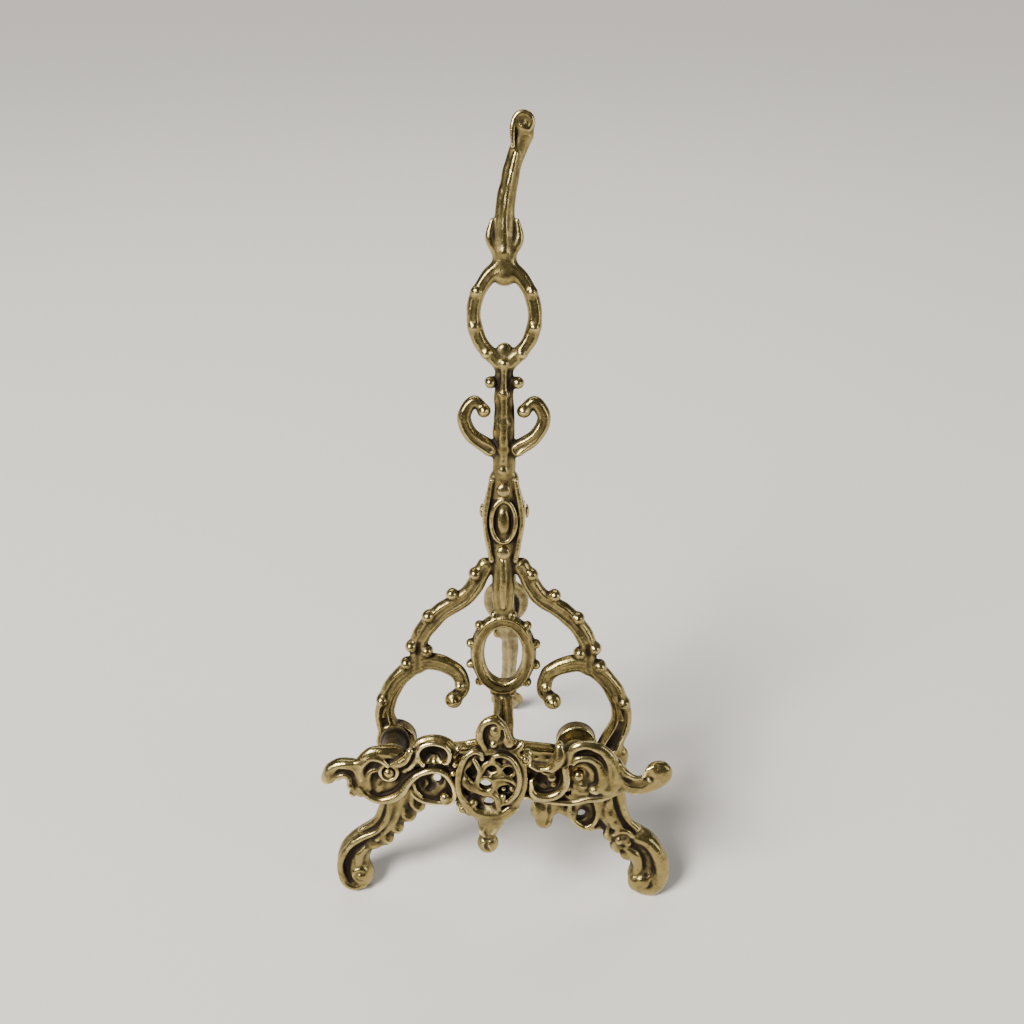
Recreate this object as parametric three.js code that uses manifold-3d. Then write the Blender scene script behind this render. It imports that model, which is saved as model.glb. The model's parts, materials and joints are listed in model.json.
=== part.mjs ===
// Plate display stand: a cast brass easel in the rococo manner, about 300 mm tall.
//
// A tall openwork easel frame leans back on two scroll feet. A low ornamental gallery stands in front of it
// on two ledge arms, so that a plate's lower rim sits in the slot between them. A long rivet through each
// ledge arm holds gallery and frame together. A pierced rosette is riveted to the middle of the gallery. A rear
// leg hangs from a hinge bracket behind the frame, opens until its heel meets the bracket, and folds flat.
//
// Lengths are in millimetres and angles in degrees. World axes: +X to the viewer's right, +Y away from the
// viewer, +Z up, with the origin on the floor under the middle of the whole stand.
// The castings are drawn as seen from the front, in the leaning plane: x across, v up the slope, and w out of
// the plane towards the viewer, with w = 0 on the front face of the easel frame.
import * as THREE from 'three';
import { mergeVertices } from 'three/addons/utils/BufferGeometryUtils.js';
import Module from 'manifold-3d';

// ---- Driving dimensions ----
const LEAN = 17.25; // the easel frame's lean back from upright
const STAND_WIDTH = 142; // across the front feet
const FRAME_HEIGHT = 314; // floor line to the top of the finial, up the slope
const FRAME_THICKNESS = 6;
const SLOT_DEPTH = 18; // room for the plate's rim, from the frame's face to the gallery's back
const GALLERY_THICKNESS = 4.5;
const RIM_RISE = 1.5; // how far the gallery's rims stand proud of its panels
const ROSETTE_THICKNESS = 4;
const FIT_GAP = 0.3; // between pieces that rest on one another
const FOOT_FILING = 0.5; // filed off below each foot, so that it stands flat

// The castings are drawn at these sizes. Across, they stretch with the stand's width. Up the slope, only what
// stands above the gallery stretches with the frame's height.
const DRAWN_WIDTH = 142;
const DRAWN_HEIGHT = 314;
const GALLERY_TOP = 100;

const across = (x) => (x * STAND_WIDTH) / DRAWN_WIDTH;

function aloft(v) {
  if (v <= GALLERY_TOP) return v;
  return GALLERY_TOP + ((v - GALLERY_TOP) * (FRAME_HEIGHT - GALLERY_TOP)) / (DRAWN_HEIGHT - GALLERY_TOP);
}

const LEDGE_LEFT = { x: across(-43.6), v: 72.4, top: 81, bottom: 67, halfWidth: 5.5 };
const LEDGE_RIGHT = { x: across(30), v: 72.4, top: 76, bottom: 65, halfWidth: 5.5 };
const LEDGE_RIVET_RADIUS = 1.6;
const LEDGE_HEAD_RADIUS = 3;
const LEDGE_WASHER = { radius: 4.2, thickness: 0.8 };

const ROSETTE = { x: across(-3.9), v: 69, halfWidth: 13.6, halfHeight: 16.4, band: 3.2 };
const ROSETTE_DRAWN = { halfWidth: 13.6, halfHeight: 16.4 };

// A point drawn from the rosette's centre, stretched with the rosette.
const onRosette = ([x, v]) => [
  ROSETTE.x + (x * ROSETTE.halfWidth) / ROSETTE_DRAWN.halfWidth,
  ROSETTE.v + (v * ROSETTE.halfHeight) / ROSETTE_DRAWN.halfHeight,
];

function rosetteRivet(name, point) {
  const [x, v] = onRosette(point);
  return { name, x, v };
}

const ROSETTE_RIVETS = [
  rosetteRivet('rosette_rivet_lower', [-11.1, -11.6]),
  rosetteRivet('rosette_rivet_upper', [13.3, 10.6]),
];
const ROSETTE_RIVET_RADIUS = 0.9;
const ROSETTE_HEAD_RADIUS = 1.8;
const RIVET_TAB_RADIUS = 2.8;

const HINGE_V = aloft(168); // height of the hinge axis up the slope
const HINGE_STANDOFF = 8; // hinge axis behind the frame's back face
const BRACKET_RIVET_OFFSET = 12.5; // above and below the hinge axis
const BRACKET_RIVET_RADIUS = 1.4;
const BRACKET_HEAD_RADIUS = 2.6;
const HINGE_PIN_RADIUS = 1.6;
const HINGE_CLEARANCE = 0.08; // radial, so that the rear leg turns freely
const HINGE_WASHER = { radius: 3.6, thickness: 1 };
const PIN_HEAD = { radius: 2.8, thickness: 1.4 };
const EYE_HALF_WIDTH = 4.6;
const EAR_INSIDE = EYE_HALF_WIDTH + HINGE_WASHER.thickness + 2 * FIT_GAP;
const EAR_THICKNESS = 2;
const BRACKET = { halfWidth: EAR_INSIDE + EAR_THICKNESS, halfHeight: 17, plate: 2, earRadius: 4.2 };

const REAR_SPLAY = 17; // the opened rear leg's angle from upright
const REAR_THICKNESS = 5;
const REAR_HEEL = 9; // the heel above the hinge axis that meets the bracket
const REAR_WIDTH = 9;

const STEPS = 3; // straight pieces between two drawn points of a curve
const ROUND = 24; // sides of a drilled hole or a shaft
const RIVET_SIDES = 16;

// ---- Materials ----
const castBrass = new THREE.MeshStandardMaterial({ color: 0x9a7f45, roughness: 0.38, metalness: 1 });
castBrass.name = 'cast_brass';
const galleryBrass = new THREE.MeshStandardMaterial({ color: 0xb0945a, roughness: 0.32, metalness: 1 });
galleryBrass.name = 'gallery_brass';
const rivetBrass = new THREE.MeshStandardMaterial({ color: 0xc2a564, roughness: 0.28, metalness: 1 });
rivetBrass.name = 'rivet_brass';

// ---- Solids ----
const wasm = await Module();
wasm.setup();

function solidOf(geometry) {
  const shell = geometry.clone();
  shell.deleteAttribute('normal');
  shell.deleteAttribute('uv');
  const merged = mergeVertices(shell, 1e-5);
  const mesh = new wasm.Mesh({
    numProp: 3,
    vertProperties: new Float32Array(merged.attributes.position.array),
    triVerts: new Uint32Array(merged.index.array),
  });
  return new wasm.Manifold(mesh);
}

function unionOf(solids) {
  return solids.reduce((whole, next) => whole.add(next));
}

function meshOf(name, solid, material) {
  const { numProp, vertProperties, triVerts } = solid.getMesh();
  const points = new Float32Array((vertProperties.length / numProp) * 3);
  for (let i = 0; i < points.length / 3; i += 1) {
    points.set(vertProperties.slice(i * numProp, i * numProp + 3), i * 3);
  }
  const geometry = new THREE.BufferGeometry();
  geometry.setAttribute('position', new THREE.BufferAttribute(points, 3));
  geometry.setIndex(new THREE.BufferAttribute(new Uint32Array(triVerts), 1));
  const faceted = geometry.toNonIndexed();
  faceted.computeVertexNormals();
  const mesh = new THREE.Mesh(faceted, material);
  mesh.name = name;
  return mesh;
}

// ---- Drawing in the leaning plane ----
const onStand = ([x, v]) => [across(x), aloft(v)];
const asDrawn = (point) => point;

function curveThrough(points, place, closed = false) {
  const corners = points.map(place).map(([x, v]) => new THREE.Vector3(x, v, 0));
  const curve = new THREE.CatmullRomCurve3(corners, closed, 'centripetal');
  const spans = closed ? points.length : points.length - 1;
  return curve.getPoints(spans * STEPS);
}

function shapeOf(points) {
  return new THREE.Shape(points.map((p) => new THREE.Vector2(p.x, p.y)));
}

// A smooth closed outline.
function outline(points, place = onStand) {
  return shapeOf(curveThrough(points, place, true).slice(0, -1));
}

// A scrolling band along a centreline. It swells and tapers with the widths, and its ends are round.
function band(points, widths, place = onStand) {
  const line = curveThrough(points, place);
  const left = [];
  const right = [];
  const last = line.length - 1;
  const reach = (i) => {
    const at = (i / last) * (widths.length - 1);
    const k = Math.min(Math.floor(at), widths.length - 2);
    return THREE.MathUtils.lerp(widths[k], widths[k + 1], at - k) / 2;
  };
  const across = (i) => {
    const along = line[Math.min(i + 1, last)].clone().sub(line[Math.max(i - 1, 0)]).normalize();
    return new THREE.Vector3(-along.y, along.x, 0);
  };
  line.forEach((p, i) => {
    left.push(p.clone().addScaledVector(across(i), reach(i)));
    right.push(p.clone().addScaledVector(across(i), -reach(i)));
  });
  const cap = (i, start) => {
    const side = across(i);
    const first = Math.atan2(side.y, side.x) + (start ? 0 : Math.PI);
    return [1, 2, 3].map((k) => {
      const turn = first + (k / 4) * Math.PI;
      return line[i].clone().add(new THREE.Vector3(Math.cos(turn), Math.sin(turn), 0).multiplyScalar(reach(i)));
    });
  };
  return shapeOf([...left.reverse(), ...cap(0, true), ...right, ...cap(last, false)]);
}

function oval(x, v, halfWidth, halfHeight = halfWidth, sides = ROUND) {
  const ring = [];
  for (let i = 0; i < sides; i += 1) {
    const turn = (i / sides) * 2 * Math.PI;
    ring.push(new THREE.Vector2(x + halfWidth * Math.cos(turn), v + halfHeight * Math.sin(turn)));
  }
  return new THREE.Shape(ring);
}

// A flat casting between two depths, back and front, measured out of the leaning plane.
function slab(shape, back, front) {
  const geometry = new THREE.ExtrudeGeometry(shape, { depth: front - back, bevelEnabled: false });
  geometry.translate(0, 0, back);
  return solidOf(geometry);
}

// The same drawing on the other side of the stand's middle.
const mirrored = (points) => points.map(([x, v]) => [-x, v]);

// A domed rivet head: a short disc with a smaller one on it.
function head(x, v, radius, surface, outwards) {
  const rise = radius * 0.3;
  const [shoulder, top] = [surface + outwards * rise, surface + outwards * rise * 2];
  const disc = (size, to) => (
    slab(oval(x, v, size, size, RIVET_SIDES), Math.min(surface, to), Math.max(surface, to)));
  return disc(radius, shoulder).add(disc(radius * 0.68, top));
}

// A rivet along w: a shank with a head at each end.
function rivet(x, v, radius, headRadius, back, front) {
  const inHead = headRadius * 0.15;
  const shank = slab(oval(x, v, radius, radius, RIVET_SIDES), back - inHead, front + inHead);
  return unionOf([shank, head(x, v, headRadius, front, 1), head(x, v, headRadius, back, -1)]);
}

// ---- Where the leaning castings and the rear leg stand ----
const leaning = new THREE.Group();
leaning.name = 'leaning_castings';
leaning.rotation.x = THREE.MathUtils.degToRad(90 - LEAN);
leaning.updateMatrixWorld(true);

const HINGE_W = -FRAME_THICKNESS - HINGE_STANDOFF;
const hingePoint = new THREE.Vector3(0, HINGE_V, HINGE_W).applyMatrix4(leaning.matrixWorld);

const rearGroup = new THREE.Group();
rearGroup.name = 'rear_leg_at_rest';
rearGroup.position.copy(hingePoint);
rearGroup.rotation.x = THREE.MathUtils.degToRad(90 + REAR_SPLAY);
rearGroup.updateMatrixWorld(true);
const REAR_LENGTH = hingePoint.z / Math.cos(THREE.MathUtils.degToRad(REAR_SPLAY));

// The ground below the floor line, as seen from inside a turned group.
function groundIn(group) {
  const block = new THREE.BoxGeometry(400, 400, 60);
  block.translate(0, 0, -30);
  block.applyMatrix4(group.matrixWorld.clone().invert());
  return solidOf(block);
}

// ---- Easel frame ----
// One casting: legs, crossbar, side scrolls, central cartouche, stem and finial.
function easelFrame() {
  const back = -FRAME_THICKNESS;
  const flat = (shape) => slab(shape, back, 0);
  const ridge = (shape) => slab(shape, -1, RIM_RISE * 0.6);
  const sole = -FOOT_FILING;
  const disc = (x, v, ...sizes) => oval(...onStand([x, v]), ...sizes);

  const leftLeg = outline([
    [-50, 60], [-50.5, 45], [-53.5, 35.5], [-62, 29], [-69, 21], [-71, 12], [-68.5, 3], [-63.5, sole],
    [-58, 2], [-55.5, 8], [-57, 15], [-54.5, 20.5], [-48.5, 22.5], [-44.5, 30], [-38, 36], [-33, 43], [-33, 60],
  ]);
  const rightLeg = outline([
    [50, 62], [51, 44], [54.5, 34.5], [62.5, 30], [69, 20], [71, 11], [68, 3], [62.5, sole],
    [56, 2.5], [53.5, 9], [54.5, 15], [49.5, 21], [45, 27], [42, 34], [38, 46], [36, 62],
  ]);
  const bracket = outline([
    [11.5, 60], [11.5, 41], [14, 34.5], [17.5, 32.5], [20.5, 36], [23, 38.5], [27, 37], [30, 34],
    [36, 31.2], [44, 31], [46, 42], [38, 60],
  ]);
  const crossbar = band([[-45, 66], [-22, 65], [0, 67], [22, 65], [45, 66]], [13, 12, 13, 12, 13]);

  const shoulder = [[-44, 70], [-48, 84], [-43, 99], [-31, 108], [-19, 104], [-16, 95], [-22, 90]];
  const shoulderWidths = [11, 8, 7, 7, 6, 6, 5];
  const flank = [[-34, 106], [-33, 118], [-25, 129], [-14, 137], [-7, 150]];
  const flankWidths = [6, 7, 7, 7, 8];
  const bud = [[-5, 196], [-12, 201], [-15, 209], [-11, 215], [-7, 210]];
  const budWidths = [6, 5, 5, 5, 4];
  const lyre = [[-2, 228], [-9, 236], [-11, 247], [-7, 257], [0, 264]];
  const lyreWidths = [5, 5, 5, 5, 5];
  const pair = (points, widths) => [flat(band(points, widths)), flat(band(mirrored(points), widths))];

  const stem = band([[0, 66], [0, 120], [0, 168], [0, 200], [0, 232]], [9, 8, 15, 9, 6]);
  const neck = band([[0, 260], [0, 280], [2, 294], [6.5, 306]], [9, 7, 6, 7]);
  const cartouche = disc(0, 112, 13, 17);
  const cartoucheWindow = disc(0, 112, 8, 12);
  const finial = disc(6.5, 309, 5);

  const bosses = [
    oval(LEDGE_LEFT.x, LEDGE_LEFT.v, 8),
    oval(LEDGE_RIGHT.x, LEDGE_RIGHT.v, 8),
    disc(-63, 8.2, 7.6),
    disc(62, 8.4, 8.2),
  ];
  const solid = unionOf([
    ...[leftLeg, rightLeg, bracket, crossbar, stem, neck, cartouche, finial, ...bosses].map(flat),
    ...pair(shoulder, shoulderWidths),
    ...pair(flank, flankWidths),
    ...pair(bud, budWidths),
    ...pair(lyre, lyreWidths),
  ]);

  const ridges = [
    band([[-48.5, 44], [-51, 34.5], [-60, 27], [-67, 18], [-68, 8.5], [-63.5, 3.5]], [3, 3.5, 3.5, 3.5, 3.5, 2.5]),
    band([[48.5, 44], [51, 33], [60, 24.5], [66.5, 16], [66, 7], [61, 3.5]], [3, 3.5, 3.5, 3.5, 3.5, 2.5]),
    disc(-62, 9, 3),
    disc(60, 9.5, 3),
    disc(16.8, 38.6, 3.6),
  ].map(ridge);
  const holes = [
    slab(cartoucheWindow, back - 1, 1),
    slab(disc(32.8, 39.2, 2), back - 1, 2),
    slab(oval(LEDGE_LEFT.x, LEDGE_LEFT.v, LEDGE_RIVET_RADIUS + FIT_GAP), back - 1, 1),
    slab(oval(LEDGE_RIGHT.x, LEDGE_RIGHT.v, LEDGE_RIVET_RADIUS + FIT_GAP), back - 1, 1),
    slab(oval(0, HINGE_V + BRACKET_RIVET_OFFSET, BRACKET_RIVET_RADIUS + FIT_GAP), back - 1, 1),
    slab(oval(0, HINGE_V - BRACKET_RIVET_OFFSET, BRACKET_RIVET_RADIUS + FIT_GAP), back - 1, 1),
  ];
  const cast = unionOf([solid, ...ridges]).subtract(unionOf(holes));
  return meshOf('easel_frame', cast.subtract(groundIn(leaning)), castBrass);
}

// ---- Gallery rail ----
// The low front casting with its two ears. Its panels are flat, and its scroll rims stand proud.
const GALLERY_BACK = SLOT_DEPTH;
const GALLERY_FACE = SLOT_DEPTH + GALLERY_THICKNESS;

function galleryRail() {
  const panel = (shape) => slab(shape, GALLERY_BACK, GALLERY_FACE);
  const rim = (shape) => slab(shape, GALLERY_BACK, GALLERY_FACE + RIM_RISE);
  // The rail runs lower and flat behind the rosette.
  const seat = (shape) => slab(shape, GALLERY_BACK, GALLERY_FACE - 1);

  const panels = [
    outline([[-54, 76], [-48, 82], [-39, 82.5], [-35, 79], [-33, 72], [-38, 64], [-44, 60], [-51, 61], [-54.5, 68]]),
    outline([[24.5, 80], [29, 86], [37, 86], [43, 81], [46, 72], [44.5, 64.5], [34, 61], [26, 60], [24, 68]]),
    band([[-58.5, 61.5], [-56, 66.5], [-53, 69]], [5, 5, 6]),
  ].map(panel);
  const rims = [
    // Left ear, swept up and over to a blunt tip.
    band([[-54, 70], [-56, 75], [-61, 76.5], [-66.5, 74], [-67, 72]], [6, 6.5, 6.5, 6.5, 6]),
    // Left lower scroll, from under the panel up and over into its volute.
    band([[-50, 61], [-43, 61], [-37.5, 66], [-32, 71.5], [-26, 73], [-20, 69.5], [-18.5, 63], [-21.5, 60.5]],
      [3, 3.5, 4, 3.5, 3.5, 3.5, 3.5, 4]),
    band([[-36, 66], [-33, 60.5], [-27, 58.5], [-20, 60]], [4, 3.5, 3.5, 4]),
    // Left upper scroll.
    band([[-29, 74], [-31.5, 80], [-28, 84], [-23, 84], [-20, 79], [-21.5, 74.5]], [4, 3, 3, 3, 3, 4]),
    band([[-39, 77.5], [-35, 79], [-31.5, 81.5]], [4, 3.5, 3.5]),
    // Left link to the rosette's seat.
    band([[-20, 77], [-15, 76], [-13, 72]], [5, 5, 5]),
    band([[-19, 64], [-15, 62], [-13, 64]], [5, 5, 5]),
    // Right link, lower scroll and leaf.
    band([[6, 77], [11, 76.5], [18, 74.5], [24, 80]], [6, 5, 4.5, 4.5]),
    band([[19, 75.5], [21, 80], [22.5, 84]], [4, 3.5, 3]),
    band([[14, 69.5], [13, 65], [18, 62], [24, 65], [25.5, 71]], [4, 3.5, 3.5, 3.5, 4]),
    band([[4, 61.5], [15, 61.5], [28, 60.5], [45, 65]], [5, 3, 3, 4]),
    // Right large scroll.
    band([[26, 76], [26, 82], [31.5, 86], [38, 85], [43.5, 79], [45, 71], [42, 65]], [3.5, 3, 3, 3.5, 4, 4, 4]),
    band([[28, 77], [33, 78], [38, 74], [38.5, 68]], [3, 3, 3.5, 4]),
    // Right ear, swept out to a ball end.
    band([[44, 76], [48, 70.5], [54, 69.5], [60, 74]], [7, 7, 6, 9]),
  ].map(rim);
  const earBall = rim(oval(...onStand([60, 74.4]), 5.6));
  const curlLeft = rim(oval(...onStand([-21.8, 61.3]), 2.8));
  const seatRing = seat(oval(ROSETTE.x, ROSETTE.v, ROSETTE.halfWidth - 1, ROSETTE.halfHeight - 2));
  const seatTabs = ROSETTE_RIVETS.flatMap(({ x, v }) => [
    seat(oval(x, v, RIVET_TAB_RADIUS)),
    seat(band([[x, v], [(x + ROSETTE.x) / 2, (v + ROSETTE.v) / 2]],
      [RIVET_TAB_RADIUS * 2, RIVET_TAB_RADIUS * 2], asDrawn)),
  ]);
  const solid = unionOf([...panels, ...rims, earBall, curlLeft, seatRing, ...seatTabs]);

  // Everything in front of the seat is cleared for the rosette.
  const pocket = oval(ROSETTE.x, ROSETTE.v, ROSETTE.halfWidth + FIT_GAP, ROSETTE.halfHeight + FIT_GAP, 40);
  const seatFace = GALLERY_FACE - 1;
  const cuts = [
    slab(pocket, seatFace, GALLERY_FACE + RIM_RISE + 1),
    ...ROSETTE_RIVETS.map(({ x, v }) => slab(oval(x, v, RIVET_TAB_RADIUS + FIT_GAP), seatFace, GALLERY_FACE + 5)),
    ...ROSETTE_RIVETS.map(({ x, v }) => slab(oval(x, v, ROSETTE_RIVET_RADIUS + FIT_GAP), GALLERY_BACK - 1, 40)),
    slab(oval(ROSETTE.x, ROSETTE.v, ROSETTE.halfWidth - 4.5, ROSETTE.halfHeight - 5.5), GALLERY_BACK - 1, 40),
    ...[LEDGE_LEFT, LEDGE_RIGHT].map(({ x, v }) => slab(oval(x, v, LEDGE_RIVET_RADIUS + FIT_GAP), 0, 40)),
    // Each ledge rivet's head lies in a shallow round recess.
    ...[LEDGE_LEFT, LEDGE_RIGHT].map(({ x, v }) => (
      slab(oval(x, v, LEDGE_HEAD_RADIUS + FIT_GAP), GALLERY_FACE, 40))),
    slab(oval(...onStand([26, 64.6]), 1.4, 1.8), GALLERY_BACK - 1, 40),
    slab(oval(...onStand([-25.3, 69]), 1.3), GALLERY_BACK - 1, 40),
  ];
  return meshOf('gallery_rail', solid.subtract(unionOf(cuts)), galleryBrass);
}

// ---- Rosette ----
// The pierced oval boss in the middle of the gallery, cast with the crest above it and the drop below.
const ROSETTE_BACK = GALLERY_FACE - 1 + FIT_GAP;
const ROSETTE_FRONT = ROSETTE_BACK + ROSETTE_THICKNESS;

function rosette() {
  const { x, v, halfWidth, halfHeight, band: ringWidth } = ROSETTE;
  const full = (shape) => slab(shape, ROSETTE_BACK, ROSETTE_FRONT);
  const low = (shape) => slab(shape, ROSETTE_BACK, ROSETTE_FRONT - 1);
  const ring = full(oval(x, v, halfWidth, halfHeight, 40));
  const window = slab(oval(x, v, halfWidth - ringWidth, halfHeight - ringWidth, 32), 0, 40);
  const bar = (points, widths) => low(band(points, widths, onRosette));
  const bars = [
    bar([[-10, 1], [-6.5, -2], [-2.5, -5], [2, -3.5], [2, 1], [-2, 5], [-6, 12]], [3, 2.6, 2.6, 2.4, 2.4, 2.4, 2.8]),
    bar([[1, -4], [4, -8], [8, -10]], [2.6, 3, 3]),
    bar([[1, 2], [6, 2], [11, -1]], [2.6, 3, 3]),
    bar([[-1, 4], [2, 8], [3, 13]], [2.6, 3, 3]),
    bar([[-6.5, -2], [-8, -7], [-8, -12]], [2.6, 2.6, 3]),
  ];
  const crest = full(outline(
    [[-6, 14], [-5, 22], [-2, 28], [1.5, 29.7], [4.5, 27], [6, 22], [8, 17], [6, 13]], onRosette));
  const crestEye = slab(oval(...onRosette([1.2, 24]), 1.6), ROSETTE_FRONT - 1, 40);
  const drop = full(outline(
    [[-6, -14.5], [-3.7, -22], [-5, -27], [-1.7, -31], [1.8, -27], [1.8, -22], [6, -14.5]], onRosette));
  const sideBeads = [[-9, 14.5], [7.5, 15.5]].map((point) => low(oval(...onRosette(point), 2.4)));
  const tabs = ROSETTE_RIVETS.map((r) => low(oval(r.x, r.v, RIVET_TAB_RADIUS)));
  const holes = ROSETTE_RIVETS.map((r) => slab(oval(r.x, r.v, ROSETTE_RIVET_RADIUS + FIT_GAP), 0, 40));
  const seats = ROSETTE_RIVETS.map((r) => (
    slab(oval(r.x, r.v, ROSETTE_HEAD_RADIUS + FIT_GAP), ROSETTE_FRONT - 1, 40)));
  const solid = unionOf([ring.subtract(window), ...bars, crest, drop, ...sideBeads, ...tabs]);
  return meshOf('rosette', solid.subtract(unionOf([crestEye, ...holes, ...seats])), galleryBrass);
}

function rosetteRivets() {
  const front = ROSETTE_FRONT - 1 + FIT_GAP;
  const back = GALLERY_BACK - FIT_GAP;
  return ROSETTE_RIVETS.map(({ name, x, v }) => (
    meshOf(name, rivet(x, v, ROSETTE_RIVET_RADIUS, ROSETTE_HEAD_RADIUS, back, front), rivetBrass)));
}

// ---- Ledge arms ----
// Each is an oval sleeve that carries the plate's rim and spaces the gallery off the frame.
function ledgeArm(name, { x, v, top, bottom, halfWidth }) {
  const sleeve = slab(oval(x, (top + bottom) / 2, halfWidth, (top - bottom) / 2), FIT_GAP, SLOT_DEPTH - FIT_GAP);
  const bore = slab(oval(x, v, LEDGE_RIVET_RADIUS + FIT_GAP), -1, SLOT_DEPTH + 1);
  return meshOf(name, sleeve.subtract(bore), castBrass);
}

function ledgeRivet(name, { x, v }) {
  const front = GALLERY_FACE + FIT_GAP;
  const back = -FRAME_THICKNESS - LEDGE_WASHER.thickness - 2 * FIT_GAP;
  return meshOf(name, rivet(x, v, LEDGE_RIVET_RADIUS, LEDGE_HEAD_RADIUS, back, front), rivetBrass);
}

function ledgeWasher(name, { x, v }) {
  const front = -FRAME_THICKNESS - FIT_GAP;
  const disc = slab(oval(x, v, LEDGE_WASHER.radius), front - LEDGE_WASHER.thickness, front);
  const bore = slab(oval(x, v, LEDGE_RIVET_RADIUS + FIT_GAP), front - 5, front + 5);
  return meshOf(name, disc.subtract(bore), rivetBrass);
}

// ---- Hinge ----
// A bar of round section along x, centred on the given height and depth.
function crossPin(radius, from, to, v, w) {
  const geometry = new THREE.CylinderGeometry(radius, radius, to - from, ROUND);
  geometry.rotateZ(Math.PI / 2);
  geometry.translate((from + to) / 2, v, w);
  return solidOf(geometry);
}

function hingeBracket() {
  const front = -FRAME_THICKNESS - FIT_GAP;
  const back = front - BRACKET.plate;
  const plate = slab(oval(0, HINGE_V, BRACKET.halfWidth, BRACKET.halfHeight, 32), back, front);
  const ears = [-1, 1].map((side) => {
    const inside = side * EAR_INSIDE;
    const outside = side * BRACKET.halfWidth;
    const [from, to] = [Math.min(inside, outside), Math.max(inside, outside)];
    const knuckle = crossPin(BRACKET.earRadius, from, to, HINGE_V, HINGE_W);
    const web = new THREE.BoxGeometry(to - from, BRACKET.earRadius * 2, front - HINGE_W);
    web.translate((from + to) / 2, HINGE_V, (front + HINGE_W) / 2);
    return knuckle.add(solidOf(web));
  });
  const cuts = [
    crossPin(HINGE_PIN_RADIUS + HINGE_CLEARANCE, -20, 20, HINGE_V, HINGE_W),
    ...[-1, 1].map((side) => slab(
      oval(0, HINGE_V + side * BRACKET_RIVET_OFFSET, BRACKET_RIVET_RADIUS + FIT_GAP), back - 1, front + 1)),
  ];
  return meshOf('hinge_bracket', unionOf([plate, ...ears]).subtract(unionOf(cuts)), castBrass);
}

function bracketRivets() {
  const back = -FRAME_THICKNESS - BRACKET.plate - 2 * FIT_GAP;
  return [['bracket_rivet_upper', 1], ['bracket_rivet_lower', -1]].map(([name, side]) => {
    const v = HINGE_V + side * BRACKET_RIVET_OFFSET;
    return meshOf(name, rivet(0, v, BRACKET_RIVET_RADIUS, BRACKET_HEAD_RADIUS, back, FIT_GAP), rivetBrass);
  });
}

function hingePin() {
  const end = BRACKET.halfWidth + FIT_GAP;
  const heads = [-1, 1].map((side) => {
    const [a, b] = [side * end, side * (end + PIN_HEAD.thickness)];
    return crossPin(PIN_HEAD.radius, Math.min(a, b), Math.max(a, b), HINGE_V, HINGE_W);
  });
  const shank = crossPin(HINGE_PIN_RADIUS, -end - 0.5, end + 0.5, HINGE_V, HINGE_W);
  return meshOf('hinge_pin', unionOf([shank, ...heads]), rivetBrass);
}

function hingeWasher(name, side) {
  const middle = side * (EYE_HALF_WIDTH + EAR_INSIDE) / 2;
  const half = HINGE_WASHER.thickness / 2;
  const disc = crossPin(HINGE_WASHER.radius, middle - half, middle + half, HINGE_V, HINGE_W);
  const bore = crossPin(HINGE_PIN_RADIUS + HINGE_CLEARANCE, middle - 3, middle + 3, HINGE_V, HINGE_W);
  return meshOf(name, disc.subtract(bore), rivetBrass);
}

// ---- Rear leg ----
// Drawn in its own plane, with the hinge axis at the origin: x across, v up the leg, w towards the frame.
function rearLeg() {
  const half = REAR_THICKNESS / 2;
  const flat = (shape) => slab(shape, -half, half);
  const down = -REAR_LENGTH;
  const wide = REAR_WIDTH;
  const shaft = band([[0, REAR_HEEL - wide / 2], [0, -20], [0, down * 0.4], [1.5, down * 0.65], [0, down * 0.84],
    [-3.5, down + 14]], [wide, wide, wide, wide - 1, wide - 2, wide - 1], asDrawn);
  const foot = oval(-0.5, down + 7, 8.5, 8.5);
  const leaves = [-1, 1].map((side) => (
    band([[0, down * 0.3], [side * 7, down * 0.36], [side * 7.5, down * 0.44], [side * 3, down * 0.48]],
      [6, 5, 4.5, 4], asDrawn)));
  const eye = crossPin(BRACKET.earRadius, -EYE_HALF_WIDTH, EYE_HALF_WIDTH, 0, 0);
  const bore = crossPin(HINGE_PIN_RADIUS + HINGE_CLEARANCE, -20, 20, 0, 0);
  const rib = slab(band([[0, -18], [0, down * 0.5], [0.5, down * 0.8]], [4, 3.5, 3], asDrawn), -half - 1, 0);

  // The heel stops just short of the bracket's plate when the leg is open.
  const bracketBack = new THREE.BoxGeometry(60, 120, 40);
  bracketBack.translate(0, HINGE_V, -FRAME_THICKNESS - BRACKET.plate - 2 * FIT_GAP + 20);
  bracketBack.applyMatrix4(leaning.matrixWorld);
  bracketBack.applyMatrix4(rearGroup.matrixWorld.clone().invert());

  const solid = unionOf([shaft, foot, ...leaves].map(flat)).add(eye).add(rib);
  const cut = solid.subtract(bore).subtract(solidOf(bracketBack)).subtract(groundIn(rearGroup));
  return meshOf('rear_leg', cut, castBrass);
}

// ---- Assembly ----
const stand = new THREE.Group();
stand.name = 'plate_display_stand';
leaning.add(
  easelFrame(),
  galleryRail(),
  rosette(),
  ...rosetteRivets(),
  ledgeArm('ledge_arm_left', LEDGE_LEFT),
  ledgeArm('ledge_arm_right', LEDGE_RIGHT),
  ledgeRivet('ledge_rivet_left', LEDGE_LEFT),
  ledgeRivet('ledge_rivet_right', LEDGE_RIGHT),
  ledgeWasher('ledge_washer_left', LEDGE_LEFT),
  ledgeWasher('ledge_washer_right', LEDGE_RIGHT),
  hingeBracket(),
  ...bracketRivets(),
  hingePin(),
  hingeWasher('hinge_washer_left', -1),
  hingeWasher('hinge_washer_right', 1),
);
rearGroup.add(rearLeg());
stand.add(leaning, rearGroup);

// The origin moves to the floor under the middle of the whole stand.
const footprint = new THREE.Box3().setFromObject(stand, true).getCenter(new THREE.Vector3());
stand.position.set(-footprint.x, -footprint.y, 0);
stand.updateMatrixWorld(true);

export default stand;
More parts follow.
